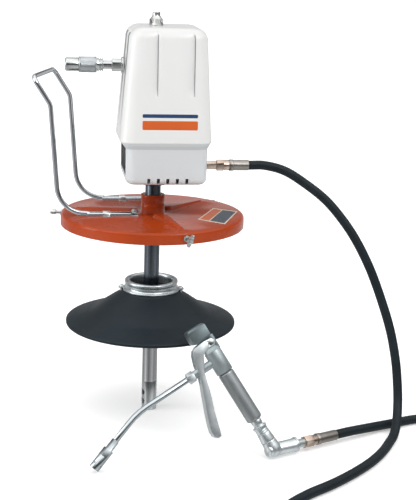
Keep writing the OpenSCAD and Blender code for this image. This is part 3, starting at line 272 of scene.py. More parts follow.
def face_places(flutes, first, last):
    """Places along a face where its rings have points, close together at the flutes' edges."""
    marks = []
    for start, edge in flutes:
        marks += [start + (edge - start) * k / FLUTE_STEPS for k in range(FLUTE_STEPS + 1)]
        marks.append(edge + FLUTE_EDGE)
    near, far = marks[FLUTE_STEPS + 1], marks[FLUTE_STEPS + 2]
    return sorted(
        marks + [first + (marks[0] - first) * k / END_STEPS for k in range(END_STEPS)]
        + [near + (far - near) * k / MIDDLE_STEPS for k in range(1, MIDDLE_STEPS)]
        + [marks[-1] + (last - marks[-1]) * k / END_STEPS for k in range(1, END_STEPS + 1)])


def hood_ring(z, inset):
    """One ring of the hood, counter-clockwise from above. Its points keep their share of each side."""
    x0, x1, half, r = hood_outline(z, inset)
    body_z = min(z, HOOD_SHOULDER_Z)
    body_x0, body_x1, body_half, _ = hood_outline(body_z, 0.0)
    fade = max(0.0, 1.0 - inset / FLUTE_FADE)

    def run(flutes, low, high, body_low, body_high, foot):
        first, last = body_low + HOOD_CORNER_R, body_high - HOOD_CORNER_R
        out = []
        for place in face_places(flutes, first, last):
            share = (place - first) / (last - first)
            depth = fade * flute_depth(place, body_z, flutes, foot)
            out.append((low + r + share * (high - low - 2 * r), depth))
        return out

    def corner(cx, cy, start):
        turns = [math.radians(start + 90 * k / CORNER_STEPS) for k in range(1, CORNER_STEPS)]
        return [(cx + r * math.cos(a), cy + r * math.sin(a)) for a in turns]

    front = run(FRONT_FLUTES, x0, x1, body_x0, body_x1, FRONT_FLUTE_FOOT)
    side = run(SIDE_FLUTES, -half, half, -body_half, body_half, SIDE_FLUTE_FOOT)
    ring = [(x, -half + d) for x, d in front]
    ring += corner(x1 - r, r - half, -90)
    ring += [(x1 - d, y) for y, d in side]
    ring += corner(x1 - r, half - r, 0)
    ring += [(x, half - d) for x, d in reversed(front)]
    ring += corner(x0 + r, half - r, 90)
    ring += [(x0 + d, y) for y, d in reversed(side)]
    ring += corner(x0 + r, r - half, 180)
    return [Vector((x, y, z)) * MM for x, y in ring]


def hood_levels():
    """The height of each ring of the hood, and how far the dome has drawn it in there."""
    levels = [(HOOD_Z + rise, 0.0) for rise in FIRST_RINGS]
    z = HOOD_Z + RING_START
    while z < HOOD_SHOULDER_Z - SHOULDER_GAP:
        levels.append((z, 0.0))
        fine = FRONT_FLUTE_FOOT - FINE_BELOW < z < FRONT_FLUTE_FOOT + FINE_ABOVE
        z += FINE_STEP if fine else RING_STEP
    for k in range(DOME_STEPS + 1):
        a = math.radians(90 * k / DOME_STEPS)
        levels.append((HOOD_SHOULDER_Z + HOOD_TOP_R * math.sin(a), HOOD_TOP_R * (1 - math.cos(a))))
    return levels


def paint_crease_shade(hood):
    """Gives the steep steps at the flutes' edges a darker paint: painted shade in the creases."""
    for face in hood.data.polygons:
        x, y, z = (c / MM for c in face.center)
        x0, x1, half, r = hood_outline(z, 0.0)
        steep_front = x0 + r < x < x1 - r and abs(face.normal.x) > CREASE_SHADE_STEEP
        steep_side = abs(y) < half - r and abs(face.normal.y) > CREASE_SHADE_STEEP
        if z < CREASE_SHADE_TOP and (steep_front or steep_side):
            face.material_index = 1


def add_hood(material, crease_shade_paint):
    rings = [hood_ring(z, inset) for z, inset in hood_levels()]
    rim = rings[-1]
    middle = sum(rim, Vector()) / len(rim)
    rings += [[middle + (p - middle) * share for p in rim] for share in CAP_SHARES]
    count = len(rim)
    faces = [face for i in range(len(rings) - 1) for face in strip(i, i + 1, count)]
    faces.append(tuple((len(rings) - 1) * count + k for k in range(count)))
    hood = mesh_object("hood_shell", [p for ring in rings for p in ring], faces, material)
    # The second paint is painted shade, for the steep steps at the flutes' edges
    hood.data.materials.append(crease_shade_paint)
    paint_crease_shade(hood)
    wall = hood.modifiers.new("wall", "SOLIDIFY")
    wall.thickness = HOOD_T * MM
    wall.offset = -1.0
    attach(hood, "pump")
    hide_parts("motor_hood")


# Follower's rubber: a flat web, then a turned skirt that ends in a soft rim
WEB_Z, WEB_BOTTOM_Z = -137.0, -141.0
WEB_BORE_R, WEB_MIDDLE_R, SKIRT_NECK_R = 13.8, 30.0, 47.0
SKIRT_SPAN, SKIRT_DROP, SKIRT_T = 102.8, 55.5, 4.45
# The skirt's upper line, as shares of its span and drop, and its rim as (radius, drop)
SKIRT_SHARES = ((0, 0), (0.03, 0.02), (0.06, 0.08), (0.24, 0.3), (0.42, 0.53), (0.57, 0.72),
                (0.66, 0.79), (0.76, 0.86), (1, 1))
SKIRT_RIM = ((149.5, 0.1), (149.75, 0.8), (149.75, 3.6), (149.4, 4.4))
SKIRT_SPAN_POINTS, SKIRT_SIDES = 5, 160


def add_follower(material):
    route = smooth_curve([Vector((SKIRT_NECK_R + a * SKIRT_SPAN, 0, WEB_Z - b * SKIRT_DROP))
                          for a, b in SKIRT_SHARES], SKIRT_SPAN_POINTS)
    upper = [(p.x, p.z) for p in route]
    lower = [(r, z - SKIRT_T) for r, z in reversed(upper)]
    rim_z = upper[-1][1]
    outline = ([(WEB_BORE_R, WEB_Z), (WEB_MIDDLE_R, WEB_Z)] + upper[:-1]
               + [(r, rim_z - drop) for r, drop in SKIRT_RIM] + lower[1:]
               + [(r, WEB_BOTTOM_Z) for r in (SKIRT_NECK_R, WEB_MIDDLE_R, WEB_BORE_R)])
    skirt = lathe("follower_rubber_skirt", outline, SKIRT_SIDES, material)
    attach(skirt, "follower")
    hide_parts("follower_cone")


# Follower's clamping ring: a turned section of (radius, height) with a rolled rim, and two lugs
RING_SECTION = [(37.6, -137), (50, -137), (50, -135.2), (49.2, -134.2), (47.6, -133.8), (46.4, -133),
                (45.7, -131), (45.5, -127.5), (45.8, -125.4), (46.8, -124.2), (47, -122.4),
                (46.7, -120.6), (45.6, -119.4), (44, -119), (41, -119), (39.4, -119.4),
                (38.2, -120.6), (37.6, -122.6)]
RING_SIDES = 128
LUG_AT, LUG_R, LUG_T, LUG_SIDES = 52.0, 5.9, 3.0, 40
LUG_ANGLES = (171.5, -8.5)


def add_ring(material):
    foot = RING_SECTION[0][1]
    pieces = [lathe("clamping_ring", RING_SECTION, RING_SIDES, material)]
    section = [(AXIS_R, foot), (LUG_R, foot), (LUG_R, foot + LUG_T), (AXIS_R, foot + LUG_T)]
    for k, angle in enumerate(LUG_ANGLES):
        lug = lathe("ring_lug_%d" % k, section, LUG_SIDES, material)
        turn = Matrix.Rotation(math.radians(angle), 4, "Z")
        lug.data.transform(turn @ Matrix.Translation((LUG_AT * MM, 0, 0)))
        pieces.append(lug)
    for piece in pieces:
        round_edges(piece, TURNED_EDGE)
        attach(piece, "follower")
    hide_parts("follower_ring")


# Gun's swivel: turned outlines of (radius, height along the axis from the elbow's centre)
BARREL_R, GROOVE_R, GROOVE_WIDTH = 11.3, 10.3, 1.3
GROOVES = (32.6, 36.0, 39.4)
SWIVEL_BARREL = (
    [(AXIS_R, 17.3), (12.2, 17.3), (12.4, 19), (11.5, 28), (BARREL_R, 32.6)]
    + [point for z in GROOVES
       for point in ((GROOVE_R, z), (GROOVE_R, z + GROOVE_WIDTH), (BARREL_R, z + GROOVE_WIDTH))]
    + [(BARREL_R, 43.6), (12.1, 44), (12.1, 46), (9, 46), (9, 48), (7.6, 48), (7.6, 50), (9, 50),
       (9, 58), (AXIS_R, 58)])
ELBOW_ARM = [(AXIS_R, -10.5), (7, -10.5), (11.5, -7.5), (13.4, -2), (13.6, 3), (13.1, 9),
             (12.4, 14.5), (12.4, 17), (AXIS_R, 17)]
ELBOW_BARREL = [(AXIS_R, -13.5), (8.6, -13.5), (10.4, -12.4), (11.1, -10.5), (11.1, 41.4),
                (12.7, 41.4), (12.7, 45), (AXIS_R, 45)]
SWIVEL_SIDES = 64


def add_swivel(material):
    centre = Matrix.Translation(GUN_ELBOW * MM)
    along_gun = (centre @ Matrix.Rotation(GUN_YAW, 4, "Z") @ Matrix.Rotation(-GUN_LEAN, 4, "X")
                 @ Matrix.Rotation(-GUN_TILT, 4, "Y"))
    along_hose = (centre @ Matrix.Rotation(HOSE_YAW, 4, "Z")
                  @ Matrix.Rotation(math.pi / 2, 4, "Y"))
    for name, outline, axis, body, node in (
            ("swivel_barrel", SWIVEL_BARREL, along_gun, "gun", "gun_swivel"),
            ("elbow_arm", ELBOW_ARM, along_gun, "elbow", None),
            ("elbow_barrel", ELBOW_BARREL, along_hose, "elbow", "swivel_elbow")):
        turned = lathe(name, outline, SWIVEL_SIDES, material)
        turned.data.transform(axis)
        round_edges(turned, TURNED_EDGE)
        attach(turned, body)
        if node:
            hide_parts(node)


# Air coupler's sleeve: diamond knurling between two grooves, with chamfered ends and a bore
SLEEVE_BORE_R, SLEEVE_SHRINK = 11.55, 0.02
SLEEVE_ROWS, SLEEVE_SIDES, GROOVE_ROW = 46, 120, 4
KNURL_DEPTH, KNURL_INSET, GROOVE_DEPTH, CHAMFER = 0.22, 0.1, 0.7, 0.6
# Half a wave of the knurling, in points round the sleeve and in rows along it
KNURL_SPACING, KNURL_PITCH = 2, 1.5


def sleeve_cut(row, k):
    """How far a point of the sleeve's outside lies under its full radius."""
    from_end = min(row, SLEEVE_ROWS - row)
    if from_end > GROOVE_ROW:
        wave = (math.cos(math.pi * (k / KNURL_SPACING + row / KNURL_PITCH))
                * math.cos(math.pi * (k / KNURL_SPACING - row / KNURL_PITCH)))
        return KNURL_DEPTH * (1 - abs(wave)) + KNURL_INSET
    return {GROOVE_ROW: GROOVE_DEPTH, 0: CHAMFER}.get(from_end, 0.0)


def add_sleeve(material):
    low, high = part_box("coupler_sleeve")
    axis_z = ((low + high) / 2).z
    outer = (high.z - low.z) / 2
    points = []

    def add_circle(x, reach):
        for k in range(SLEEVE_SIDES):
            a = 2 * math.pi * k / SLEEVE_SIDES
            points.append(Vector((x, reach(k) * math.cos(a), axis_z + reach(k) * math.sin(a))))

    for row in range(SLEEVE_ROWS + 1):
        add_circle(low.x + (high.x - low.x) * row / SLEEVE_ROWS,
                   lambda k: outer - (SLEEVE_SHRINK + sleeve_cut(row, k)) * MM)
    for x in (high.x, low.x):
        add_circle(x, lambda k: SLEEVE_BORE_R * MM)
    order = list(range(SLEEVE_ROWS + 3)) + [0]
    faces = [face for i, j in zip(order, order[1:]) for face in strip(i, j, SLEEVE_SIDES)]
    sleeve = mesh_object("knurled_sleeve", points, faces, material, smooth=False)
    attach(sleeve, "inlet_sleeve")
    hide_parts("coupler_sleeve")


# Plain colour fields. The hood's are given by their left, right, bottom and top.
HOOD_FIELDS = (("hood_stripe_lower", (-27, 65, 157, 172), "stripe_orange"),
               ("hood_stripe_upper", (-27, 65, 177, 183), "stripe_blue"))
STRIPE_T, STRIPE_LIFT, STRIPE_CORNER_R, STRIPE_CORNER_STEPS = 0.12, 0.02, 2.0, 5
LABEL_CORNERS = ((72, -57, 1.5), (111, 31, 1.5), (151, 5, 1.5), (113, -93, 1.5))
LABEL_T = 0.06
# The cover's are given by the shares of the label's short and long sides, and the lift over it
LABEL_FIELDS = (("label_border", (0, 1), (0, 1), 0.01, "label_cream"),
                ("label_orange", (0.05, 0.38), (0.05, 0.95), 0.08, "stripe_orange"),
                ("label_dark", (0.42, 0.95), (0.05, 0.95), 0.08, "label_dark"))


def plate(name, corners, thickness, material, body):
    """A thin plate on a surface, from its corners in order, raised along its own normal."""
    corners = [Vector(c) * MM for c in corners]
    normal = (corners[1] - corners[0]).cross(corners[2] - corners[1]).normalized()
    n = len(corners)
    points = corners + [c + normal * thickness * MM for c in corners]
    faces = [tuple(range(n - 1, -1, -1)), tuple(range(n, 2 * n))] + strip(0, 1, n)
    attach(mesh_object(name, points, faces, material, smooth=False), body)


def rounded_rect(x0, x1, z0, z1, r, steps):
    out = []
    for cx, cz, start in ((x1 - r, z1 - r, 0), (x0 + r, z1 - r, 90),
                          (x0 + r, z0 + r, 180), (x1 - r, z0 + r, 270)):
        for k in range(steps + 1):
            a = math.radians(start + 90 * k / steps)
            out.append((cx + r * math.cos(a), cz + r * math.sin(a)))
    return out


def add_plates(materials):
    for name, edges, colour in HOOD_FIELDS:
        places = rounded_rect(*edges, STRIPE_CORNER_R, STRIPE_CORNER_STEPS)
        corners = [(x, -hood_outline(z, 0.0)[2] - STRIPE_LIFT, z) for x, z in reversed(places)]
        plate(name, corners, STRIPE_T, materials[colour], "pump")
    label = [Vector(c) for c in LABEL_CORNERS]

    def spot(u, v):
        """A place on the label: u along its short side, v along its long side."""
        near = label[0] + (label[3] - label[0]) * u
        far = label[1] + (label[2] - label[1]) * u
        return near + (far - near) * v

    for name, (u0, u1), (v0, v1), lift, colour in LABEL_FIELDS:
        corners = [spot(u0, v0), spot(u1, v0), spot(u1, v1), spot(u0, v1)]
        plate(name, [c + Vector((0, 0, lift)) for c in corners], LABEL_T, materials[colour],
              "cover")


# Materials. The span of noise that a colour or a gloss runs over, and the noise's own settings
NOISE_LOW, NOISE_HIGH = 0.3, 0.7
NOISE_DETAIL, NOISE_ROUGHNESS = 4.0, 0.55
# How far the gloss swings, its least value, and how much finer its noise is than the colour's
GLOSS_SWING, GLOSS_LEAST, GLOSS_SCALE = 0.05, 0.02, 2.3
# Depth of the fine grain, in metres
GRAIN_DEPTH = 0.0002


class Nodes:
    """A material's node tree, with short calls for what the finishes below share."""

    def __init__(self, material):
        self.tree = material.node_tree
        self.shader = self.tree.nodes["Principled BSDF"]
        self.place = self.add("ShaderNodeTexCoord").outputs["Object"]

    def add(self, kind, **settings):
        node = self.tree.nodes.new(kind)
        for key, value in settings.items():
            if key in node.inputs:
                node.inputs[key].default_value = value
            else:
                setattr(node, key, value)
        return node

    def link(self, a, b):
        self.tree.links.new(a, b)

    def set(self, **values):
        for key, value in values.items():
            self.shader.inputs[key.replace("_", " ")].default_value = value

    def drive(self, name, value):
        """Links a value to one of the shader's own sockets."""
        self.link(value, self.shader.inputs[name])

    def noise(self, scale, stretch=(1, 1, 1)):
        mapping = self.add("ShaderNodeMapping", Scale=stretch)
        self.link(self.place, mapping.inputs["Vector"])
        node = self.add("ShaderNodeTexNoise", Scale=scale, Detail=NOISE_DETAIL,
                        Roughness=NOISE_ROUGHNESS)
        self.link(mapping.outputs["Vector"], node.inputs["Vector"])
        return node.outputs["Fac"]

    def ramp(self, value, stops):
        node = self.add("ShaderNodeValToRGB")
        band = node.color_ramp
        while len(band.elements) < len(stops):
            band.elements.new(0.5)
        for element, (place, colour) in zip(band.elements, stops):
            element.position = place
            element.color = (*colour, 1.0)
        self.link(value, node.inputs["Fac"])
        return node.outputs["Color"]

    def range(self, value, low, high, start=NOISE_LOW, end=NOISE_HIGH):
        node = self.add("ShaderNodeMapRange")
        for key, v in (("From Min", start), ("From Max", end), ("To Min", low), ("To Max", high)):
            node.inputs[key].default_value = v
        self.link(value, node.inputs["Value"])
        return node.outputs["Result"]

    def by_height(self, stops):
        """A colour from stops of (height, colour)."""
        split = self.add("ShaderNodeSeparateXYZ")
        self.link(self.place, split.inputs["Vector"])
        low, high = stops[0][0], stops[-1][0]
        return self.ramp(self.range(split.outputs["Z"], 0.0, 1.0, low * MM, high * MM),
                         [((z - low) / (high - low), colour) for z, colour in stops])

    def multiply(self, a, b):
        node = self.add("ShaderNodeMix", data_type="RGBA", blend_type="MULTIPLY")
        node.inputs["Factor"].default_value = 1.0
        self.link(a, node.inputs["A"])
        self.link(b, node.inputs["B"])
        return node.outputs["Result"]

    def bump(self, value, strength, distance):
        node = self.add("ShaderNodeBump", Strength=strength, Distance=distance)
        self.link(value, node.inputs["Height"])
        self.drive("Normal", node.outputs["Normal"])


def new_material(name):
    material = bpy.data.materials.new(name)
    material.use_nodes = True
    return material


def shade(colour, factor):
    return tuple(min(1.0, c * factor) for c in colour)


def finish(name, colour, roughness, metallic=0.0, vary=0.08, scale=30.0, grain=0.1,
           grain_scale=2200.0, coat=0.0, coat_roughness=0.05, specular=0.5):
    """A finish of one colour that varies softly, with uneven gloss and a fine surface grain."""
    material = new_material(name)
    n = Nodes(material)
    n.set(Metallic=metallic, Coat_Weight=coat, Coat_Roughness=coat_roughness,
          Specular_IOR_Level=specular)
    n.drive("Base Color", n.ramp(n.noise(scale), [(NOISE_LOW, shade(colour, 1 - vary)),
                                                  (NOISE_HIGH, shade(colour, 1 + vary))]))
    n.drive("Roughness", n.range(n.noise(scale * GLOSS_SCALE),
                                 max(GLOSS_LEAST, roughness - GLOSS_SWING),
                                 roughness + GLOSS_SWING))
    if grain:
        n.bump(n.noise(grain_scale), grain, GRAIN_DEPTH)
    return material


def tone_by_height(material, stops):
    """Multiplies a finish's colour by stops of (height, colour)."""
    n = Nodes(material)
    base = n.shader.inputs["Base Color"].links[0].from_socket
    n.drive("Base Color", n.multiply(base, n.by_height(stops)))


# Pump tube: dark above the follower, paler below it, bright at its foot
TUBE_TONES = [(-320, (0.62, 0.65, 0.66)), (-312, (0.62, 0.65, 0.66)), (-304, (0.42, 0.43, 0.44)),
              (-160, (0.38, 0.395, 0.40)), (-121.6, (0.16, 0.185, 0.215)),
              (0, (0.16, 0.185, 0.215))]
# Noise drawn out along the tube, as its scale and stretch, and then what it drives: the least and
# most share of the colour, the least and most roughness, and the grain's strength and depth in metres
TUBE_STREAKS, STREAK_SHARES = (60.0, (1, 1, 0.06)), (0.8, 1.2)
TUBE_GLOSS, TUBE_ROUGHNESS = (90.0, (1, 1, 0.1)), (0.2, 0.34)
TUBE_GRAIN, TUBE_BUMP = (1500.0, (1, 1, 0.05)), (0.03, 0.0001)


def tube_finish(name):
    """Drawn steel pipe with streaks along it."""
    material = new_material(name)
    n = Nodes(material)
    n.set(Metallic=1.0)
    n.drive("Base Color", n.multiply(n.by_height(TUBE_TONES),
                                     n.range(n.noise(*TUBE_STREAKS), *STREAK_SHARES)))
    n.drive("Roughness", n.range(n.noise(*TUBE_GLOSS), *TUBE_ROUGHNESS))
    n.bump(n.noise(*TUBE_GRAIN), *TUBE_BUMP)
    return material


FINISHES = {
    "cover_paint": dict(colour=(0.355, 0.044, 0.006), roughness=0.3, vary=0.10, scale=9,
                        grain=0.02, grain_scale=420, coat=0.34, coat_roughness=0.03,
                        specular=0.08),
    "hood_paint": dict(colour=(0.685, 0.69, 0.68), roughness=0.32, vary=0.012, scale=12,
                       grain=0.03, grain_scale=420, coat=0.3, coat_roughness=0.12, specular=0.4),
    # Painted shade for the flutes' steep steps
    "hood_crease_shade": dict(colour=(0.22, 0.225, 0.235), roughness=0.4, vary=0.05, grain=0.03),
    "shroud_paint": dict(colour=(0.60, 0.635, 0.65), roughness=0.36, vary=0.02, scale=12,
                         grain=0.04, grain_scale=420, coat=0.2, coat_roughness=0.14,
                         specular=0.4),
    "zinc": dict(colour=(0.60, 0.61, 0.60), roughness=0.3, metallic=1, scale=150, grain=0.03),
    "chrome_rod": dict(colour=(0.56, 0.58, 0.61), roughness=0.16, metallic=1, vary=0.05,
                       scale=40, grain=0.02),
    "chrome_bright": dict(colour=(0.56, 0.58, 0.58), roughness=0.2, metallic=1, vary=0.05,
                          scale=60, grain=0.02),
    "hard_steel": dict(colour=(0.55, 0.55, 0.56), roughness=0.25, metallic=1, vary=0.05,
                       grain=0.04),
    "dark_steel": dict(colour=(0.04, 0.04, 0.045), roughness=0.4, metallic=0.6, vary=0.2,
                       scale=90),
    "base_casting": dict(colour=(0.9, 0.86, 0.78), roughness=0.35, metallic=0.3, vary=0.25,
                         scale=45, grain=0.2, grain_scale=900),
    "motor_aluminium": dict(colour=(0.6, 0.6, 0.6), roughness=0.4, metallic=1, vary=0.06,
                            scale=60, grain=0.2, grain_scale=1200),
    "seal_rubber": dict(colour=(0.02, 0.02, 0.02), roughness=0.6, vary=0.1),
    "sleeve_steel": dict(colour=(0.50, 0.53, 0.545), roughness=0.34, metallic=1, scale=120,
                         grain=0.04),
    "copper_brass": dict(colour=(0.58, 0.47, 0.395), roughness=0.28, metallic=1, vary=0.18,
                         scale=90, grain=0.03),
    "ferrule_steel": dict(colour=(0.34, 0.315, 0.29), roughness=0.36, metallic=1, vary=0.10,
                          scale=60, grain=0.02),
    "hose_rubber": dict(colour=(0.012, 0.018, 0.022), roughness=0.45, vary=0.18, grain=0.06,
                        grain_scale=1500, specular=0.16),
    "gun_zinc": dict(colour=(0.64, 0.69, 0.705), roughness=0.34, metallic=0.85, scale=60,
                     grain=0.02),
    "pipe_chrome": dict(colour=(0.50, 0.55, 0.575), roughness=0.2, metallic=1, scale=60,
                        grain=0.02),
    "gun_grip_steel": dict(colour=(0.34, 0.365, 0.375), roughness=0.44, metallic=0.8, vary=0.05,
                           scale=50, grain=0.02),
    "gun_casting": dict(colour=(0.39, 0.44, 0.455), roughness=0.42, metallic=0.75, vary=0.07,
                        scale=50, grain=0.02),
    "follower_rubber": dict(colour=(0.005, 0.013, 0.019), roughness=0.5, vary=0.14, scale=12,
                            grain=0.05, grain_scale=1300, specular=0.3),
    "stripe_orange": dict(colour=(0.56, 0.10, 0.018), roughness=0.35, vary=0.04, scale=40,
                          grain=0.02, coat=0.2, specular=0.3),
    "stripe_blue": dict(colour=(0.02, 0.05, 0.13), roughness=0.35, vary=0.05, scale=40,
                        grain=0.02, coat=0.2, specular=0.3),
    "label_cream": dict(colour=(0.66, 0.58, 0.46), roughness=0.4, vary=0.04, scale=60,
                        grain=0.03),
    "label_dark": dict(colour=(0.045, 0.06, 0.08), roughness=0.35, vary=0.2, scale=90,
                       grain=0.03),
    "ring_zinc": dict(colour=(0.60, 0.65, 0.67), roughness=0.3, metallic=0.92, vary=0.06,
                      scale=40, grain=0.02),
}
# What finishes are multiplied by at each height: the painted shade in the creases fades out downwards,
# the shroud gets painted shade under the hood's edge and at its bottom, and the pump base is dark
# below its flange
HEIGHT_TONES = {
    "hood_crease_shade": [(140, (3.0, 3.0, 3.0)), (240, (1.0, 1.0, 1.0))],
    # Painted shade under the hood's edge and along the shroud's bottom
    "shroud_paint": [(40, (0.72, 0.72, 0.72)), (52, (0.94, 0.94, 0.94)), (60, (1.0, 1.0, 1.0)),
                     (122.5, (1.0, 1.0, 1.0)), (123.5, (0.74, 0.75, 0.75)),
                     (129.3, (0.74, 0.75, 0.75)), (130.2, (0.86, 0.86, 0.86)),
                     (140, (0.84, 0.84, 0.84))],
    "base_casting": [(60, (0.12, 0.13, 0.14)), (84, (0.2, 0.22, 0.23)), (90, (0.75, 0.85, 0.95)),
                     (104, (0.7, 0.8, 0.9)), (112, (1.0, 0.9, 0.72)), (140, (1.0, 0.85, 0.62))],
}
# The top of the gun's casting is darker than the rest, by height from its highest point
GUN_TONES = [(-60, (1.0, 1.0, 1.0)), (-42, (1.0, 1.0, 1.0)), (-34, (0.42, 0.46, 0.47)),
             (0, (0.42, 0.46, 0.47))]


def make_materials():
    made = {name: finish(name, **settings) for name, settings in FINISHES.items()}
    made["tube_steel"] = tube_finish("tube_steel")
    for name, stops in HEIGHT_TONES.items():
        tone_by_height(made[name], stops)
    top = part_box("gun_body")[1][2] / MM
    tone_by_height(made["gun_casting"], [(top + rise, colour) for rise, colour in GUN_TONES])
    return made


# Rounding of the sharp edges of each CAD node that can be seen
EDGES = {
    "drum_cover": 0.5, "cover_collar": 0.5, "collar_screw": 0.4, "bail_handle": 0.5,
    "handle_clamps": 0.3, "handle_nuts": 0.4, "handle_studs": 0.3, "skirt_nuts": 0.4,
    "thumb_screw_left": 0.6, "thumb_screw_front": 0.6, "thumb_screw_back": 0.6, "pump_tube": 0.3,
    "foot_valve_body": 0.6, "tube_lock_nut": 0.6, "lower_shroud": 0.4, "hood_stud": 0.5,
    "hood_nut": 0.5, "inlet_nipple": 0.5, "coupler_body": 0.5, "coupler_end_nut": 0.5,
    "outlet_adapter": 0.5, "hose_nut_pump": 0.6, "hose_ferrule_pump": 0.5,
    "hose_ferrule_gun": 0.5, "hose_nut_gun": 0.6, "swivel_stem": 0.5, "gun_grip": 0.4,
    "gun_body": 0.9, "gun_lever": 0.7, "lever_pin": 0.4, "outlet_nut": 0.6,
    "extension_pipe": 0.3, "grease_coupler": 0.5, "follower_screws": 0.3,
    "exhaust_muffler": 0.4, "pump_base": 0.6, "air_cylinder": 0.4, "cylinder_head": 0.6,
    "tie_bolts": 0.4, "valve_caps": 0.4,
}
# Nodes whose metal is brighter than their slot's
BRIGHTER = {"extension_pipe": "pipe_chrome", "grease_coupler": "pipe_chrome"}


def dress_nodes(materials):
    for part in frame["record"]["subparts"]:
        node = part["node"]
        obj = NODES[node]
        obj.data.materials.clear()
        obj.data.materials.append(materials[BRIGHTER.get(node, part["material_slot"])])
        if node in EDGES:
            round_edges(obj, EDGES[node])
    # Metal near the cover keeps its grey, as in the photograph, instead of mirroring its paint
    NODES["drum_cover"].visible_glossy = False


# Studio, in metres and watts
FLOOR_HALF, FLOOR_GAP, FLOOR_GLOW = 45.0, 0.0005, 0.3
BACKDROP_R, BACKDROP_GLOW, BACKDROP_SEGMENTS = 40.0, 1.0, (48, 24)
SKY_STRENGTH = 1.6
# Share of the strength at each height of the sky's unit sphere. Only reflections show its lower half.
SKY_FRONT = ((-1.0, 0.55), (-0.45, 0.50), (-0.22, 0.42), (-0.10, 0.10), (0.05, 0.05),
             (0.36, 0.14), (0.62, 0.95), (1.0, 1.0))
SKY_BACK = ((-1.0, 0.50), (-0.3, 0.35), (0.0, 0.40), (0.19, 0.42), (0.25, 0.08), (0.45, 0.14),
            (0.8, 0.6), (1.0, 1.0))
# Share of the strongest upright band at each compass angle, counted from the front to the right
BANDS = ((-180, 0.36), (-120, 0.24), (-80, 1.0), (-45, 0.4), (-20, 0.24), (15, 0.53), (50, 0.83),
         (75, 0.4), (100, 0.53), (140, 0.27), (180, 0.36))
BAND_GAIN = 1.5
BAND_LOW_Z, BAND_HIGH_Z = 0.25, 0.6
BACK_FROM, BACK_FULL = 90.0, 150.0
# Name, place, target, width, height and power of each lamp
LAMPS = (("key", (1.1, -1.6, 1.8), (0, 0, 0), 0.9, 0.9, 13),
         ("fill", (-1.7, -0.9, 1.0), (0, 0, 0), 0.7, 1.4, 5),
         ("side", (-2.1, -0.1, 0.55), (0, 0, 0.15), 0.8, 1.2, 12))


def add_world():
    """Soft light from above, with dark and light bands low down that glossy metal reflects."""
    world = bpy.data.worlds.new("studio")
    bpy.context.scene.world = world
    world.use_nodes = True
    tree = world.node_tree

    def link(value, socket):
        if isinstance(value, (int, float)):
            socket.default_value = value
        else:
            tree.links.new(value, socket)

    def calc(operation, a, b=0.0):
        node = tree.nodes.new("ShaderNodeMath")
        node.operation = operation
        link(a, node.inputs[0])
        link(b, node.inputs[1])
        return node.outputs["Value"]

    def remap(value, low, high, to_low=0.0, to_high=1.0):
        node = tree.nodes.new("ShaderNodeMapRange")
        for key, v in (("From Min", low), ("From Max", high),
                       ("To Min", to_low), ("To Max", to_high)):
            node.inputs[key].default_value = v
        link(value, node.inputs["Value"])
        return node.outputs["Result"]

    def ramp(value, stops, low, high):
        node = tree.nodes.new("ShaderNodeValToRGB")
        node.color_ramp.interpolation = "EASE"
        for _ in stops[2:]:
            node.color_ramp.elements.new(0.5)
        for element, (place, share) in zip(node.color_ramp.elements, stops):
            element.position = (place - low) / (high - low)
            element.color = (share, share, share, 1.0)
        link(remap(value, low, high), node.inputs["Fac"])
        return node.outputs["Color"]

    def blend(factor, a, b):
        return calc("ADD", calc("MULTIPLY", a, calc("SUBTRACT", 1.0, factor)),
                    calc("MULTIPLY", b, factor))

    direction = tree.nodes.new("ShaderNodeTexCoord")
    split = tree.nodes.new("ShaderNodeSeparateXYZ")
    tree.links.new(direction.outputs["Generated"], split.inputs["Vector"])
    x, y, z = (split.outputs[k] for k in "XYZ")
    compass = calc("MULTIPLY", calc("ARCTAN2", x, calc("MULTIPLY", y, -1.0)), 180 / math.pi)
    low = remap(z, BAND_LOW_Z, BAND_HIGH_Z, 1.0, 0.0)
    banded = blend(low, 1.0, calc("MULTIPLY", ramp(compass, BANDS, -180, 180), BAND_GAIN))
    behind = remap(calc("ABSOLUTE", compass), BACK_FROM, BACK_FULL)
    level = blend(behind, calc("MULTIPLY", ramp(z, SKY_FRONT, -1, 1), banded),
                  ramp(z, SKY_BACK, -1, 1))
    sky = tree.nodes["Background"]
    tree.links.new(level, sky.inputs["Color"])
    sky.inputs["Strength"].default_value = SKY_STRENGTH


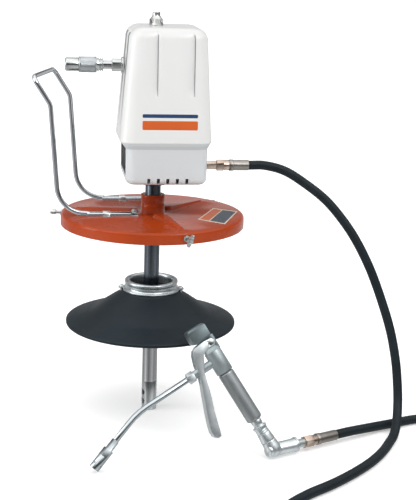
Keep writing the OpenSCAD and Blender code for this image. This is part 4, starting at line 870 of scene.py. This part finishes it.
def add_glow(material, strength):
    """Makes a material shine white, and gives back its shader."""
    shader = material.node_tree.nodes["Principled BSDF"]
    shader.inputs["Emission Color"].default_value = (1, 1, 1, 1)
    shader.inputs["Emission Strength"].default_value = strength
    return shader


def add_backdrop():
    """A white dome far behind everything, which only the camera sees."""
    shell = bmesh.new()
    across, up = BACKDROP_SEGMENTS
    bmesh.ops.create_uvsphere(shell, u_segments=across, v_segments=up, radius=BACKDROP_R)
    mesh = bpy.data.meshes.new("backdrop")
    shell.to_mesh(mesh)
    shell.free()
    white = new_material("backdrop")
    add_glow(white, BACKDROP_GLOW).inputs["Base Color"].default_value = (0, 0, 0, 1)
    mesh.materials.append(white)
    dome = link_object("backdrop", mesh)
    dome.visible_diffuse = dome.visible_glossy = False
    dome.visible_transmission = dome.visible_shadow = False


def add_floor():
    """A white floor that metal doesn't mirror, so its reflections keep the studio's dark bands."""
    material = finish("floor", colour=(0.92, 0.92, 0.92), roughness=0.8, vary=0.003, scale=2,
                      grain=0.0)
    add_glow(material, FLOOR_GLOW)
    half = FLOOR_HALF
    corners = [(-half, -half, 0), (half, -half, 0), (half, half, 0), (-half, half, 0)]
    floor = mesh_object("floor", corners, [(0, 1, 2, 3)], material, smooth=False)
    floor.location.z = FLOOR_Z - FLOOR_GAP
    floor.visible_glossy = False


def add_lamps():
    for name, place, target, width, height, power in LAMPS:
        light = bpy.data.lights.new(name, "AREA")
        light.shape = "RECTANGLE"
        light.size, light.size_y = width, height
        light.energy = power
        lamp = link_object(name, light)
        lamp.location = place
        aim = Vector(target) - Vector(place)
        lamp.rotation_euler = aim.to_track_quat("-Z", "Y").to_euler()


add_camera()
MATERIALS = make_materials()
dress_nodes(MATERIALS)
add_hose(MATERIALS["hose_rubber"])
add_hood(MATERIALS["hood_paint"], MATERIALS["hood_crease_shade"])
add_follower(MATERIALS["follower_rubber"])
add_ring(MATERIALS["ring_zinc"])
add_swivel(MATERIALS["gun_zinc"])
add_sleeve(MATERIALS["sleeve_steel"])
add_plates(MATERIALS)
add_world()
add_backdrop()
add_floor()
add_lamps()
bpy.context.scene.view_settings.view_transform = "Standard"
